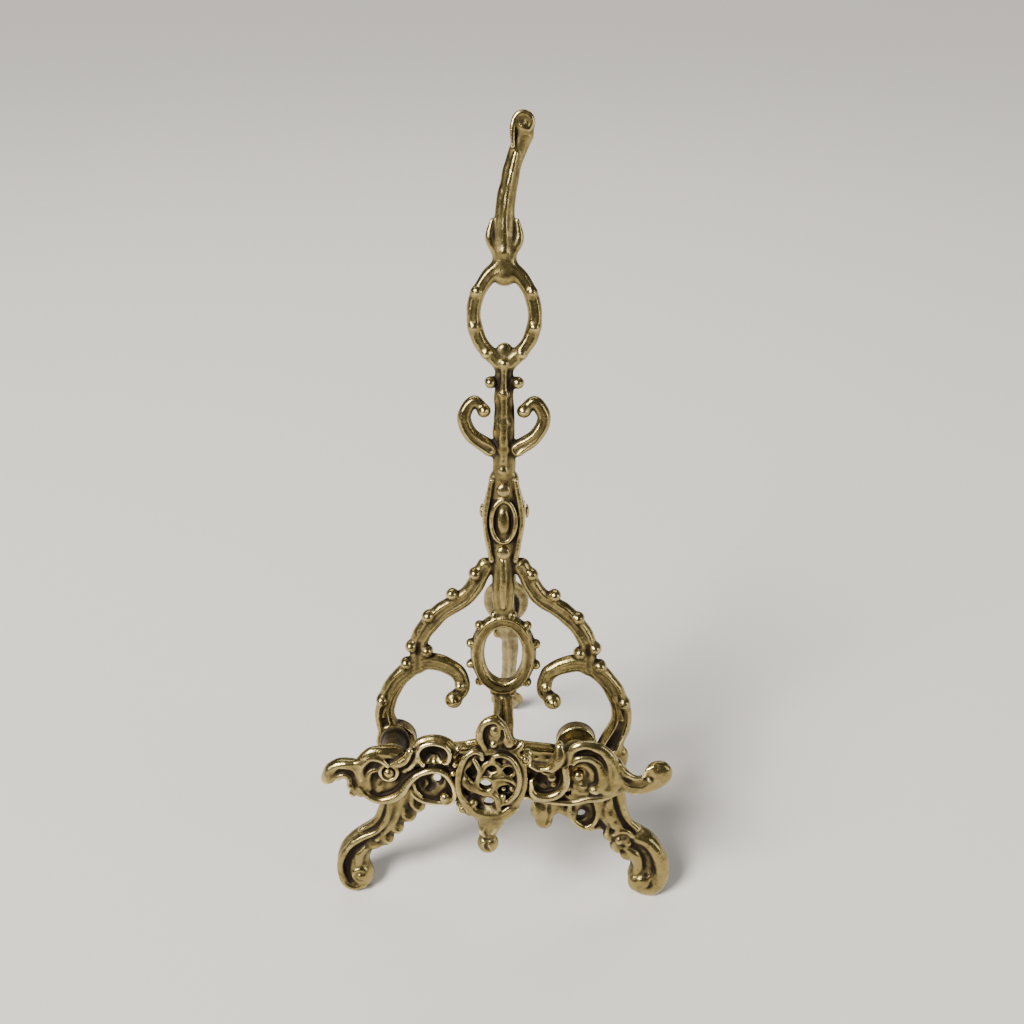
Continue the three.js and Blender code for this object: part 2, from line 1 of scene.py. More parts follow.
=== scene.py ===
# %% [markdown]
# # A cast brass plate stand
# The real stand is a small easel in the rococo manner. A founder pressed carved patterns into sand, poured
# brass, filed the joints, riveted the castings together, and let age darken the hollows while hands and
# polishing cloths kept the ridges bright. This lesson rebuilds each casting as a sculpted solid around the
# measured frame, and then gives the brass its age.

# %% Load the measured stand
import json
import math

import bmesh
import bpy
import numpy as np
import openvdb
from mathutils import Matrix, Vector


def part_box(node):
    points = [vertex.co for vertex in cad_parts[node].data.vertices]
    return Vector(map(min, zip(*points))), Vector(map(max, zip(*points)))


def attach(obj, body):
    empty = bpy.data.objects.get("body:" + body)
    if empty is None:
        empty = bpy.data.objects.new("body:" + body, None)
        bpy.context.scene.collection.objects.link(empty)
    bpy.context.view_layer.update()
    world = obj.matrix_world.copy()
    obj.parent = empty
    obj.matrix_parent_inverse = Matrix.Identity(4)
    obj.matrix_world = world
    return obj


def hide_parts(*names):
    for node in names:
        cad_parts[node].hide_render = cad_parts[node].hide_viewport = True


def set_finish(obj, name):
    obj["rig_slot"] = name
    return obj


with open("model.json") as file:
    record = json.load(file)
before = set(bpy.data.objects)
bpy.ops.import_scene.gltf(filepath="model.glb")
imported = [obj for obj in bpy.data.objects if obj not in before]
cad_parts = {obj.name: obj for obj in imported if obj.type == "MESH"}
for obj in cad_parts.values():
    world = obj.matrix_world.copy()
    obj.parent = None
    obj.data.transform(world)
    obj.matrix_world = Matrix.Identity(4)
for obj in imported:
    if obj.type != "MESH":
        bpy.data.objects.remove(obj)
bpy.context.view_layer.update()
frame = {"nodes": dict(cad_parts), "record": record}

# %% [markdown]
# ## The leaning drawing board
# Every front casting is flat at the back, so it is easiest to draw as a founder does, on a board: x across,
# v up the slope and w out towards the viewer, with w = 0 on the easel frame's front face. The board leans
# back with the stand. The hinge pin lies on a known point of the board, which fixes the board in space.

# %% Place the drawing board
MM = 0.001
LEAN = math.radians(17.25)
REAR_SPLAY = math.radians(17)
HINGE_V, HINGE_W = 168, -14


def middle(node):
    low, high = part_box(node)
    return np.array((low + high) / 2) / MM


def board(origin, up, out):
    """A turn and shift from drawn points to the stand's own space, in millimetres."""
    return np.column_stack([[1, 0, 0], up, out]), np.array(origin, float)


hinge_centre = middle("hinge_pin")
slope_up = np.array([0, math.sin(LEAN), math.cos(LEAN)])
slope_out = np.array([0, -math.cos(LEAN), math.sin(LEAN)])
LEANING = board(hinge_centre - HINGE_V * slope_up - HINGE_W * slope_out, slope_up, slope_out)
REAR = board(hinge_centre, [0, -math.sin(REAR_SPLAY), math.cos(REAR_SPLAY)],
             [0, -math.cos(REAR_SPLAY), -math.sin(REAR_SPLAY)])
print("hinge centre, mm:", hinge_centre.round(2))

# %% [markdown]
# ## Modelling wax
# Scrolls, beads and leaves run into one another with soft fillets, and polygons are poor at that. A signed
# distance is good at it: a number at every point of a fine grid, negative inside the metal. Two shapes join
# by taking the smaller number, and a rounded minimum leaves the fillet that sand casting leaves. The grid
# turns into a mesh at the end, where the number passes through zero.

# %% A block of wax
FAR = 9.0  # mm, stands for "nowhere near"
FURTHEST = 999.0  # mm, beyond any grid
REACH = 2.4  # mm, how far round a shape its distance is worked out
SPAN_STEPS = 6  # straight pieces between two drawn points
STEP_SCALE = 1.0


def soft_min(a, b, fillet):
    """The smaller of two distances, with a fillet of about this radius where they meet."""
    lean_in = np.maximum(fillet - np.abs(a - b), 0) / fillet
    return np.minimum(a, b) - lean_in * lean_in * fillet * 0.25


def spread(value, count):
    """A number, or a few numbers spread evenly, at each of count points."""
    values = np.atleast_1d(np.array(value, float))
    if len(values) == 1:
        return np.full(count, values[0])
    return np.interp(np.linspace(0, 1, count), np.linspace(0, 1, len(values)), values)


def flowing(points):
    """A smooth curve through drawn rows, which may hold x, v, w and radius."""
    rows = np.array(points, float)
    lengths = np.linalg.norm(np.diff(rows[:, :2], axis=0), axis=1)
    pace = np.concatenate([[0], np.cumsum(np.sqrt(lengths + 1e-6))])
    if len(rows) == 2:
        return rows[0] + (rows[1] - rows[0]) * np.linspace(0, 1, SPAN_STEPS + 1)[:, None]
    slopes = np.gradient(rows, pace, axis=0)
    curve = [rows[0]]
    for i in range(len(rows) - 1):
        gap = pace[i + 1] - pace[i]
        for t in np.arange(1, SPAN_STEPS + 1) / SPAN_STEPS:
            curve.append((2 * t ** 3 - 3 * t ** 2 + 1) * rows[i] + (t ** 3 - 2 * t ** 2 + t) * gap * slopes[i]
                         + (3 * t ** 2 - 2 * t ** 3) * rows[i + 1] + (t ** 3 - t ** 2) * gap * slopes[i + 1])
    return np.array(curve)


def on_oval(x, v, half_width, half_height, start=0, turn=360, count=16):
    """Points round an oval, from one angle through a turn, in degrees."""
    angles = np.radians(start + turn * np.linspace(0, 1, count))
    return [(x + half_width * math.cos(a), v + half_height * math.sin(a)) for a in angles]


class Wax:
    """A casting's pattern: signed distances in mm on a regular grid of the drawing board."""

    def __init__(self, low, high, step):
        self.step = step * STEP_SCALE
        self.low = np.array(low, float)
        counts = np.ceil((np.array(high) - self.low) / self.step).astype(int) + 1
        self.axes = [self.low[i] + self.step * np.arange(counts[i]) for i in range(3)]
        self.field = np.full(counts, FAR, np.float32)

    def window(self, low, high):
        """The grid block between two corners, and its coordinates."""
        block = tuple(slice(max(int(np.searchsorted(axis, a)) - 1, 0), int(np.searchsorted(axis, b)) + 1)
                      for axis, a, b in zip(self.axes, low, high))
        x, v, w = (axis[part].astype(np.float32) for axis, part in zip(self.axes, block))
        return block, x[:, None, None], v[None, :, None], w[None, None, :]

    def whole(self):
        return self.window([-FURTHEST] * 3, [FURTHEST] * 3)

    def join(self, block, distance, fillet):
        self.field[block] = soft_min(self.field[block], distance, fillet)

    def carve(self, block, distance, fillet):
        self.field[block] = -soft_min(-self.field[block], distance, fillet)

    def rope_distance(self, points, w, r, flat):
        """Distance to a tapering rope. flat is its depth over its width."""
        count = len(points)
        rows = np.column_stack([np.array(points, float), spread(w, count), spread(r, count)])
        line = flowing(rows)
        grow = line[:, 3].max() + REACH
        margin = np.array([grow, grow, grow * flat])
        block, x, v, w = self.window(line[:, :3].min(0) - margin, line[:, :3].max(0) + margin)
        near = np.full((x.size, v.size, w.size), FAR, np.float32)
        for a, b in zip(line[:-1], line[1:]):
            reach = max(a[3], b[3]) + REACH
            margin = np.array([reach, reach, reach * flat])
            part = []
            for axis, lo, hi in zip((x, v, w), np.minimum(a, b)[:3] - margin, np.maximum(a, b)[:3] + margin):
                flat_axis = axis.ravel()
                part.append(slice(int(np.searchsorted(flat_axis, lo)), int(np.searchsorted(flat_axis, hi))))
            px, pv, pw = x[part[0]] - a[0], v[:, part[1]] - a[1], (w[:, :, part[2]] - a[2]) / flat
            dx, dv, dw = b[0] - a[0], b[1] - a[1], (b[2] - a[2]) / flat
            along = np.clip((px * dx + pv * dv + pw * dw) / (dx * dx + dv * dv + dw * dw + 1e-9), 0, 1)
            gap = np.sqrt((px - along * dx) ** 2 + (pv - along * dv) ** 2 + (pw - along * dw) ** 2)
            gap = (gap - (a[3] + along * (b[3] - a[3]))) * min(flat, 1)
            spot = tuple(part)
            near[spot] = np.minimum(near[spot], gap)
        return block, near

    def rope(self, points, w, r, flat=1.0, fillet=1.0):
        self.join(*self.rope_distance(points, w, r, flat), fillet)

    def groove(self, points, w, r, flat=1.0, fillet=0.7):
        self.carve(*self.rope_distance(points, w, r, flat), fillet)

    def ball_distance(self, centre, radii):
        centre = np.array(centre, float)
        radii = np.array(radii if np.size(radii) == 3 else [radii] * 3, float)
        block, x, v, w = self.window(centre - radii - REACH, centre + radii + REACH)
        px, pv, pw = x - centre[0], v - centre[1], w - centre[2]
        scaled = np.sqrt((px / radii[0]) ** 2 + (pv / radii[1]) ** 2 + (pw / radii[2]) ** 2) + 1e-6
        slope = np.sqrt((px / radii[0] ** 2) ** 2 + (pv / radii[1] ** 2) ** 2 + (pw / radii[2] ** 2) ** 2)
        return block, (scaled * (scaled - 1) / (slope + 1e-6)).astype(np.float32)

    def ball(self, centre, radii, fillet=0.9):
        self.join(*self.ball_distance(centre, radii), fillet)

    def scoop(self, centre, radii, fillet=0.7):
        self.carve(*self.ball_distance(centre, radii), fillet)

    def sheet_distance(self, outline, back, front, edge):
        """Distance to a flat piece cut to an outline, its edges rounded by edge."""
        ring = flowing(list(outline) + [outline[0]])[:-1, :2]
        margin = np.array([REACH, REACH, REACH])
        low = np.array([*ring.min(0), back]) - margin
        high = np.array([*ring.max(0), front]) + margin
        block, x, v, w = self.window(low, high)
        px, pv = np.broadcast_arrays(x[:, :, 0], v[:, :, 0])
        nearest = np.full(px.shape, 1e6)
        inside = np.zeros(px.shape, bool)
        for (ax, av), (bx, bv) in zip(ring, np.roll(ring, -1, axis=0)):
            dx, dv = bx - ax, bv - av
            along = np.clip(((px - ax) * dx + (pv - av) * dv) / (dx * dx + dv * dv + 1e-9), 0, 1)
            nearest = np.minimum(nearest, (px - ax - along * dx) ** 2 + (pv - av - along * dv) ** 2)
            crosses = (av > pv) != (bv > pv)
            inside ^= crosses & (px < dx * (pv - av) / (dv if dv else 1e-9) + ax)
        across = (np.sqrt(nearest) * np.where(inside, -1, 1))[:, :, None] + edge
        through = np.abs(w - (back + front) / 2) - (front - back) / 2 + edge
        outside = np.sqrt(np.maximum(across, 0) ** 2 + np.maximum(through, 0) ** 2)
        return block, (outside + np.minimum(np.maximum(across, through), 0) - edge).astype(np.float32)

    def sheet(self, outline, back, front, edge=0.8, fillet=0.7):
        self.join(*self.sheet_distance(outline, back, front, edge), fillet)

    def drill(self, x, v, half_width, half_height=None, back=-FURTHEST, front=FURTHEST, fillet=0.3):
        """A hole along w, or a blind recess where front or back stops it."""
        half_height = half_height or half_width
        block, px, pv, pw = self.window([x - half_width - REACH, v - half_height - REACH, -FURTHEST],
                                        [x + half_width + REACH, v + half_height + REACH, FURTHEST])
        scaled = np.sqrt(((px - x) / half_width) ** 2 + ((pv - v) / half_height) ** 2)
        distance = (scaled - 1) * min(half_width, half_height)
        self.carve(block, np.maximum(distance, np.maximum(back - pw, pw - front)).astype(np.float32), fillet)

    def keep(self, cut, fillet=0.5):
        """Files away everything where cut(x, v, w) is positive."""
        block, x, v, w = self.whole()
        distance = np.broadcast_to(np.float32(1) * cut(x, v, w), self.field.shape)
        self.field = -soft_min(-self.field, -distance, fillet)

    def weather(self, seed, depth=0.16, lump=3.2):
        """Swells and sinks the whole surface a little, in lumps of about this size, as sand casting does."""
        rng = np.random.default_rng(seed)
        spans = [axis[-1] - axis[0] for axis in self.axes]
        coarse = rng.uniform(-1, 1, [int(span / lump) + 3 for span in spans]).astype(np.float32)
        for k, axis in enumerate(self.axes):
            place = (axis - axis[0]) / lump
            base = place.astype(int)
            part = place - base
            part = part * part * (3 - 2 * part)
            shape = [1, 1, 1]
            shape[k] = len(axis)
            part = part.reshape(shape).astype(np.float32)
            coarse = np.take(coarse, base, axis=k) * (1 - part) + np.take(coarse, base + 1, axis=k) * part
        self.field += coarse * depth

    def moulding(self, points, w, r, root, wider=0.7, fillet=0.6):
        """A raised rim with the wall of metal under it, down to the depth root."""
        count = len(points)
        tops, radii = spread(w, count), spread(r, count)
        wall = radii + wider
        deep = (tops - root) / 2
        self.rope(points, (tops + root) / 2 - 0.5, wall, flat=float(np.mean(deep / wall)), fillet=fillet)
        self.rope(points, tops - 0.3, radii + 0.15, fillet=0.8)


print("wax ready: grid scale", STEP_SCALE)

# %% [markdown]
# ## From wax to metal
# The grid becomes quads, the quads are relaxed a little so that no grid step shows, and three measures go
# with every vertex: how proud it stands of its neighbours, which is where cloths and fingers polish, how
# much metal closes in above it, and how deep it lies behind the casting's face. Tarnish gathers in the last
# two, and they also paint in shade, the shade that falls into hollows and behind the face.

# %% Cast a piece
SMOOTHING_ROUNDS = 4
FINE_BLUR, BROAD_BLUR = 0.7, 1.8  # mm
LOOK_OUT = 2.3  # mm, how far above the surface the metal around is weighed
PULL_IN, PUSH_OUT = 0.55, -0.5  # shares of the way to the neighbours' mean
# For each casting, the level of w where cloths always reach, then the one where they never do. Further
# back the brass is darker, partly tarnish and partly painted shade.
GALLERY_SHINE = (21.2, 19.2)
ROSETTE_SHINE = (23.8, 21.6)
EASEL_SHINE = (-1.0, -6.2)
PROP_SHINE = (3.0, -6.0)
LEDGE_SHINE = (26, 0)
BRACKET_SHINE = (0, -26)


def blurred(solid, radius):
    """Three running means along each axis, close to a Gaussian of that radius in grid steps."""
    reach = max(int(round(radius - 0.5)), 1)
    width = 2 * reach + 1
    for axis in range(3):
        pad = [(0, 0)] * 3
        pad[axis] = (3 * reach + 1, 3 * reach)
        work = np.pad(solid, pad, mode="edge")
        for run in range(3):
            total = np.cumsum(work, axis=axis, dtype=np.float64)
            ahead = [slice(None)] * 3
            behind = [slice(None)] * 3
            ahead[axis] = slice(width, None)
            behind[axis] = slice(None, -width)
            work = ((total[tuple(ahead)] - total[tuple(behind)]) / width).astype(np.float32)
            if run < 2:
                pad = [(0, 0)] * 3
                pad[axis] = (1, 0)
                work = np.pad(work, pad, mode="edge")
        solid = work
    return solid


def sampled(grid, places):
    """Values of a grid at fractional indices, by weighing the eight corners."""
    limit = np.array(grid.shape) - 2
    base = np.clip(np.floor(places).astype(int), 0, limit)
    part = np.clip(places - base, 0, 1)
    total = np.zeros(len(places))
    for corner in range(8):
        offset = np.array([(corner >> bit) & 1 for bit in range(3)])
        weight = np.prod(np.where(offset, part, 1 - part), axis=1)
        i, j, k = (base + offset).T
        total += weight * grid[i, j, k]
    return total


def relaxed(points, quads, rounds):
    """Moves each vertex part way to its neighbours' mean, and back a little, which keeps the volume."""
    starts = quads[:, [0, 1, 2, 3]].ravel()
    ends = quads[:, [1, 2, 3, 0]].ravel()
    touching = np.bincount(starts, minlength=len(points)) + np.bincount(ends, minlength=len(points))
    counts = np.maximum(touching, 1)
    for i in range(rounds * 2):
        mean = np.zeros_like(points)
        for c in range(3):
            mean[:, c] = (np.bincount(starts, points[ends, c], len(points))
                          + np.bincount(ends, points[starts, c], len(points))) / counts
        points = points + (mean - points) * (PULL_IN if i % 2 == 0 else PUSH_OUT)
    return points


def outward(points, quads):
    """Each vertex's own direction out of the metal."""
    a, b, c, d = (points[quads[:, k]] for k in range(4))
    facing = np.cross(c - a, d - b)
    total = np.zeros_like(points)
    for k in range(4):
        for axis in range(3):
            total[:, axis] += np.bincount(quads[:, k], facing[:, axis], len(points))
    return total / np.maximum(np.linalg.norm(total, axis=1, keepdims=True), 1e-9)


def mesh_piece(name, points, faces, measures=None):
    """A smooth shaded mesh in the scene, from points in metres."""
    mesh = bpy.data.meshes.new(name)
    mesh.from_pydata(points.tolist(), [], faces.tolist())
    mesh.polygons.foreach_set("use_smooth", np.ones(len(mesh.polygons), bool))
    for label, values in (measures or {}).items():
        layer = mesh.attributes.new(label, "FLOAT", "POINT")
        layer.data.foreach_set("value", values.astype(np.float32))
    piece = bpy.data.objects.new(name, mesh)
    bpy.context.scene.collection.objects.link(piece)
    return piece


def largest_body(points, quads):
    """Leaves out any loose crumb of metal: keeps the vertices that hang together with the most others."""
    label = np.arange(len(points))
    while True:
        lowest = label[quads].min(axis=1)
        fresh = label.copy()
        for c in range(4):
            np.minimum.at(fresh, quads[:, c], lowest)
        fresh = fresh[fresh]
        if np.array_equal(fresh, label):
            break
        label = fresh
    kept = label == np.bincount(label).argmax()
    number = np.cumsum(kept) - 1
    return points[kept], number[quads[kept[quads[:, 0]]]]


def cast(name, wax, place, shine, *nodes):
    """Turns wax into a piece that stands for these measured nodes and rides with their body.

    shine holds the levels of w where cloths always reach and where they never do. Further back the brass is
    darker, partly tarnish and partly painted shade.
    """
    polished, tarnished = shine
    grid = openvdb.FloatGrid(FAR)
    grid.copyFromArray(wax.field)
    steps, quads = grid.convertToQuads(isovalue=0.0)
    steps, quads = largest_body(steps.astype(float), quads.astype(np.int64))
    solid = np.clip(0.5 - wax.field / wax.step, 0, 1)
    above = steps + outward(steps, quads) * LOOK_OUT / wax.step
    level = wax.low[2] + steps[:, 2] * wax.step
    measures = {
        "depth": np.clip((polished - level) / (polished - tarnished), 0, 1),
        "proud": 1 - 2 * sampled(blurred(solid, FINE_BLUR / wax.step), steps),
        "sunk": sampled(blurred(solid, BROAD_BLUR / wax.step), above),
    }
    steps = relaxed(steps, quads, SMOOTHING_ROUNDS)
    turn, origin = place
    drawn = wax.low + steps * wax.step
    piece = mesh_piece(name, (drawn @ turn.T + origin) * MM, quads, measures)
    take_over(piece, *nodes)
    for label, values in measures.items():
        print(name, len(quads), "quads;", label, np.percentile(values, [5, 50, 95]).round(2))


def take_over(piece, *nodes):
    """The piece rides with its nodes' body, takes their finish slot and is shown in their place."""
    record = frame["record"]
    bodies = record["behaviour"]["bodies"]
    body = next(b for b, members in bodies.items() if nodes[0] in members)
    slot = frame["nodes"][nodes[0]].data.materials[0].name.split(".")[0]
    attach(piece, body)
    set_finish(piece, slot)
    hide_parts(*nodes)


# %% [markdown]
# ## The gallery rail
# The low front casting keeps the plate from sliding off. It is a chain of C scrolls, each with a bright
# raised rim, a wall under the rim and a dark bowl inside it. Bodies come first, then rims, then hollows are
# carved, then beads are set, the same order in which a carver works.

# %% Gallery: levels and the left ear
BACK, FACE = 18.0, 21.4
SCROLL_ROOT = 18.6
gallery = Wax([-73, 54, 16.5], [69, 91, 26.5], 0.31)
gallery.rope([(-67.4, 69), (-65.6, 72.2), (-61.8, 73.6), (-58, 73), (-55.9, 70), (-56.2, 65.4)],
             20.4, [2.9, 3.5, 3.9, 3.9, 3.2, 2.4], flat=0.72)
gallery.rope([(-68.4, 68.4), (-67.4, 72.2), (-63.8, 75), (-59, 75.8), (-54.6, 76)], 21.9,
             [1.6, 1.5, 1.5, 1.5, 1.2])
gallery.groove([(-65.2, 70.4), (-62.4, 72.4), (-59.2, 72.2), (-57.2, 70.2), (-57, 67.4)], 23.3,
               [0.8, 1.5, 1.7, 1.5, 1.0])
gallery.rope([(-63.8, 69.2), (-61.4, 70.6), (-59.4, 69.2), (-58.8, 66)], 21.7, [1.0, 1.1, 1.1, 1.2])
for spot, size in (((-58.8, 65.6, 21.4), 1.6), ((-58.2, 62.2, 20.8), 1.6), ((-56.6, 64.2, 21), 1.7),
                   ((-55, 62.6, 21.4), 1.7)):
    gallery.ball(spot, size)
print("left ear drawn")

# %% Gallery: the left panel round its rivet
gallery.sheet([(-54, 76), (-48, 82), (-40, 82.4), (-35, 79), (-33, 72), (-37, 64), (-44, 60.4), (-51, 61),
               (-55, 67)], BACK, FACE, edge=1.0)
gallery.rope([(-53.6, 66), (-55, 71), (-54, 76.4), (-50.4, 80), (-45.4, 80.8), (-40.8, 79.6)],
             21.2, [2.0, 2.3, 2.5, 2.6, 2.4, 1.7], flat=0.85)
gallery.scoop((-47.6, 69.4, 25.4), (5.4, 7.2, 4.4), fillet=1.4)
gallery.groove([(-42.6, 65), (-39.4, 69.5), (-35.4, 74.5)], 24.9, [2.4, 3.1, 2.4], fillet=1.4)
gallery.groove([(-41.8, 80.6), (-39.6, 79), (-38.6, 80.6), (-37.8, 82)], 23.4, [1.0, 1.3, 1.3, 1.0])
gallery.rope([(-54.4, 69.6), (-54.4, 73.8), (-52.9, 76.8), (-50.2, 78.8), (-46.6, 78.3), (-43.9, 75.8)],
             22.7, [0.9, 1.1, 1.2, 1.2, 1.1, 0.9])
gallery.rope([(-51.6, 64.6), (-52.2, 69), (-51.1, 72.2), (-49, 73)], 21.3, [1.1, 1.3, 1.2, 0.9])
gallery.rope([(-48.4, 62.6), (-47.4, 65.4), (-47, 68)], 20.4, [1.2, 1.6, 1.0], fillet=1.4)
gallery.rope(on_oval(-43.6, 72.4, 3.4, 3.4), 21.7, 0.9, fillet=0.6)
print("left panel drawn")

# %% Gallery: the long S scroll and its bowl
gallery.sheet(on_oval(-27, 66.6, 9, 8), BACK, 20.6, edge=0.8)
gallery.moulding([(-55, 65.6), (-52.6, 62.6), (-49.1, 60.6), (-44.5, 60.6), (-41.2, 62), (-38.1, 64.8),
                  (-36, 68.2), (-32.2, 72), (-27.4, 74), (-22, 72.8), (-19, 68.5), (-18, 63.6),
                  (-19.2, 60.4), (-21.6, 59.1)],
                 [22.2, 22.6, 22.8, 23, 23.2, 23.2, 23.2, 23.2, 23.2, 23.2, 23.1],
                 [1.2, 1.35, 1.5, 1.5, 1.35, 1.15, 1.05, 1.0, 0.95, 0.9, 0.8], SCROLL_ROOT)
gallery.ball((-21.7, 61.3, 22.2), (2.2, 2.2, 1.7), fillet=0.6)
gallery.groove(on_oval(-21.6, 61.4, 1.25, 1.25, 120, 250, 8), 23.9, 0.4, fillet=0.3)
gallery.moulding([(-36.4, 66), (-33.6, 61.8), (-29.8, 59.4), (-25, 58.7), (-20.6, 59.4)], 21.6,
                 [0.9, 1.0, 1.0, 0.9, 0.8], SCROLL_ROOT)
gallery.rope([(-34.4, 68.6), (-33.6, 65), (-31.4, 62)], 21.6, [0.8, 0.7, 0.6])
gallery.scoop((-27.5, 66.8, 24.4), (5.8, 5.4, 5.6))
gallery.scoop((-25.2, 68.6, 20), (3.0, 3.0, 1.6))
gallery.rope([(-31.4, 63.6), (-29.4, 66), (-30.2, 69.4)], 19.0, [0.8, 1.1, 0.7])
gallery.rope([(-28, 62.4), (-25.6, 63.8), (-24.6, 66)], 18.9, [0.8, 1.0, 0.5])
gallery.drill(-25.2, 68.2, 1.3, 1.5)
print("S scroll drawn")

# %% Gallery: the upper scroll, its leaf and the link to the rosette
gallery.sheet(on_oval(-25.8, 80, 7, 6.2), BACK, 20.8, edge=0.8)
gallery.rope([(-33.6, 78), (-33.6, 82.4), (-31, 85.4), (-26.4, 86.8), (-21.6, 85.8), (-18.4, 82.4),
              (-18, 78)], 20.2, [1.6, 1.5, 1.4, 1.3, 1.3, 1.5, 1.8], flat=1.1)
gallery.moulding([(-30.2, 76.4), (-31.8, 78.8), (-32.2, 81.2), (-31, 83.7), (-28.3, 85.3), (-24.9, 85.6),
                  (-21.3, 84.1), (-19.6, 80.7), (-20.8, 77.8), (-22.3, 77.6)], 23,
                 [0.9, 0.9, 0.85, 0.85, 0.9, 0.9, 0.95, 1.0, 1.0, 0.9], SCROLL_ROOT)
gallery.scoop((-25.9, 80.4, 24.6), (5.2, 4.6, 5.8))
for spread_x in (-2.2, 0, 2.2):
    gallery.rope([(-25.8 + spread_x, 76.6), (-25.8 + spread_x * 0.5, 79)], [21, 19.6], [0.8, 0.5])
gallery.rope([(-41, 76), (-38.6, 77.2), (-36.2, 79.4), (-34.9, 82.2)], [21.4, 22.3, 22.6, 22.7],
             [2.0, 2.1, 1.8, 1.3])
gallery.rope([(-37.4, 73), (-34.6, 76), (-32.6, 79)], [21.2, 22, 22.4], [1.3, 1.6, 1.2])
gallery.groove([(-36.8, 75.6), (-34.6, 78.6), (-33.4, 81.6)], [22.8, 23.4, 23.8], 0.55)
gallery.sheet([(-21, 78.6), (-15, 79), (-11.5, 74), (-12, 66), (-14, 60.4), (-19.6, 59.6), (-19.4, 68)],
              BACK, 21.2)
for spot, size in (((-18, 80.2, 21.6), 1.5), ((-17.8, 76.2, 21.6), 1.4), ((-18.6, 72.4, 22), 1.2),
                   ((-16.6, 82.8, 21.2), 1.2)):
    gallery.ball(spot, size, fillet=0.4)
print("upper scroll drawn")

# %% Gallery: the right link, small scroll and lower rim
gallery.sheet([(6, 78.6), (12, 77), (20, 76), (26, 77), (27, 64), (24, 60.4), (6, 61.6), (7.6, 70)], BACK,
              20.8)
gallery.moulding([(8.4, 78.2), (10.4, 77.3), (14, 75.3), (18.1, 75), (21.2, 77.4), (22.8, 81.2),
                  (22.3, 84.6)], [22, 22.3, 22.5, 22.6, 22.7, 22.7, 22.4],
                 [1.2, 1.1, 1.2, 1.7, 2.1, 2.1, 1.4], 19.4, wider=0.3)
gallery.moulding([(12.4, 69.4), (11.7, 66.8), (12.7, 64.2), (15.4, 62.8), (19, 62.8), (22.7, 64.8),
                  (25, 68.4), (25.3, 72.2), (24.4, 76)], 22.7, [1.5, 1.3, 1.4, 1.5, 1.5, 1.6, 1.6, 1.5, 1.2],
                 SCROLL_ROOT)
gallery.ball((12.5, 69.8, 22.7), (1.8, 1.7, 1.4))
gallery.moulding([(6, 62.6), (11, 62), (15.2, 60.9), (21, 59.9), (28.4, 59.6), (33.6, 61.4), (39.6, 62.6),
                  (45, 65.2)], 21.4, [1.1, 1.1, 1.1, 1.1, 1.0, 1.3, 1.7, 1.7], SCROLL_ROOT, wider=0.4)
gallery.scoop((17.2, 70.0, 24.7), (5.0, 4.9, 5.9))
gallery.ball((19.8, 70.8, 20.4), (2.4, 2.2, 2.3))
gallery.ball((20.8, 67.4, 20.0), (1.9, 1.8, 1.8))
gallery.ball((16.6, 66.4, 19.2), (1.6, 1.5, 1.3))
gallery.rope([(15.4, 73.4), (17.8, 72.6), (20.6, 73.4)], 21.2, [0.6, 0.8, 0.6])
print("right link drawn")

# %% Gallery: the large right scroll
gallery.sheet([(24.5, 79), (29, 84.6), (37, 84.4), (42.4, 79), (44.6, 71), (44, 65.4), (34, 61.6), (26, 61),
               (24.4, 68)], BACK, FACE, edge=1.0)
gallery.rope([(26, 74.6), (26.2, 78.4), (26.9, 82.2), (29, 84.7), (32.4, 85.6), (37, 84.4), (41, 80.8),
              (43.2, 75.8), (44, 71), (43.2, 67.2), (40.4, 65.8)],
             [21.8, 22, 22.2, 22.4, 22.4, 22.3, 22.3, 22.3, 22.2, 22, 21.8],
             [1.3, 1.6, 1.8, 1.9, 2.0, 2.3, 2.6, 2.8, 2.8, 2.5, 2.0], flat=0.75)
gallery.groove([(27.8, 79), (29.2, 82), (32.4, 83), (36.2, 81.8), (39, 78.8), (40.6, 75)], 23.8,
               [1.0, 1.4, 1.5, 1.4, 1.1, 0.7])
gallery.scoop((33, 72.4, 25.2), (5.8, 5.6, 4.4), fillet=1.4)
gallery.rope([(27.4, 77.4), (29.8, 79.7), (34, 79.9), (37.6, 77.4), (39.5, 73), (39.4, 68.8), (37, 66)], 22.4,
             [0.9, 1.2, 1.5, 1.8, 2.2, 2.2, 1.5], flat=0.8)
gallery.rope([(29.6, 76.2), (32.8, 75.8), (35.2, 73.2), (35.6, 70)], 20.4, [0.8, 1.2, 1.3, 0.9])
gallery.groove([(41.2, 79), (43, 75), (43, 70.6)], 24.9, [0.7, 1.2, 0.8])
gallery.ball((36.4, 65.8, 21.6), (2.4, 2.0, 1.9))
gallery.ball((41, 66.2, 21.9), (2.6, 2.2, 2.0))
gallery.ball((31.8, 67.2, 20.6), (2.0, 1.8, 1.7))
gallery.rope([(28.6, 67.8), (30, 64.8), (33.6, 64)], 20.8, [1.0, 1.2, 1.0])
gallery.groove([(26.9, 76.6), (27.9, 72.6), (27.2, 68.8)], 22.8, 0.9)
gallery.drill(26, 64.6, 1.4, 1.8)
print("large scroll drawn")

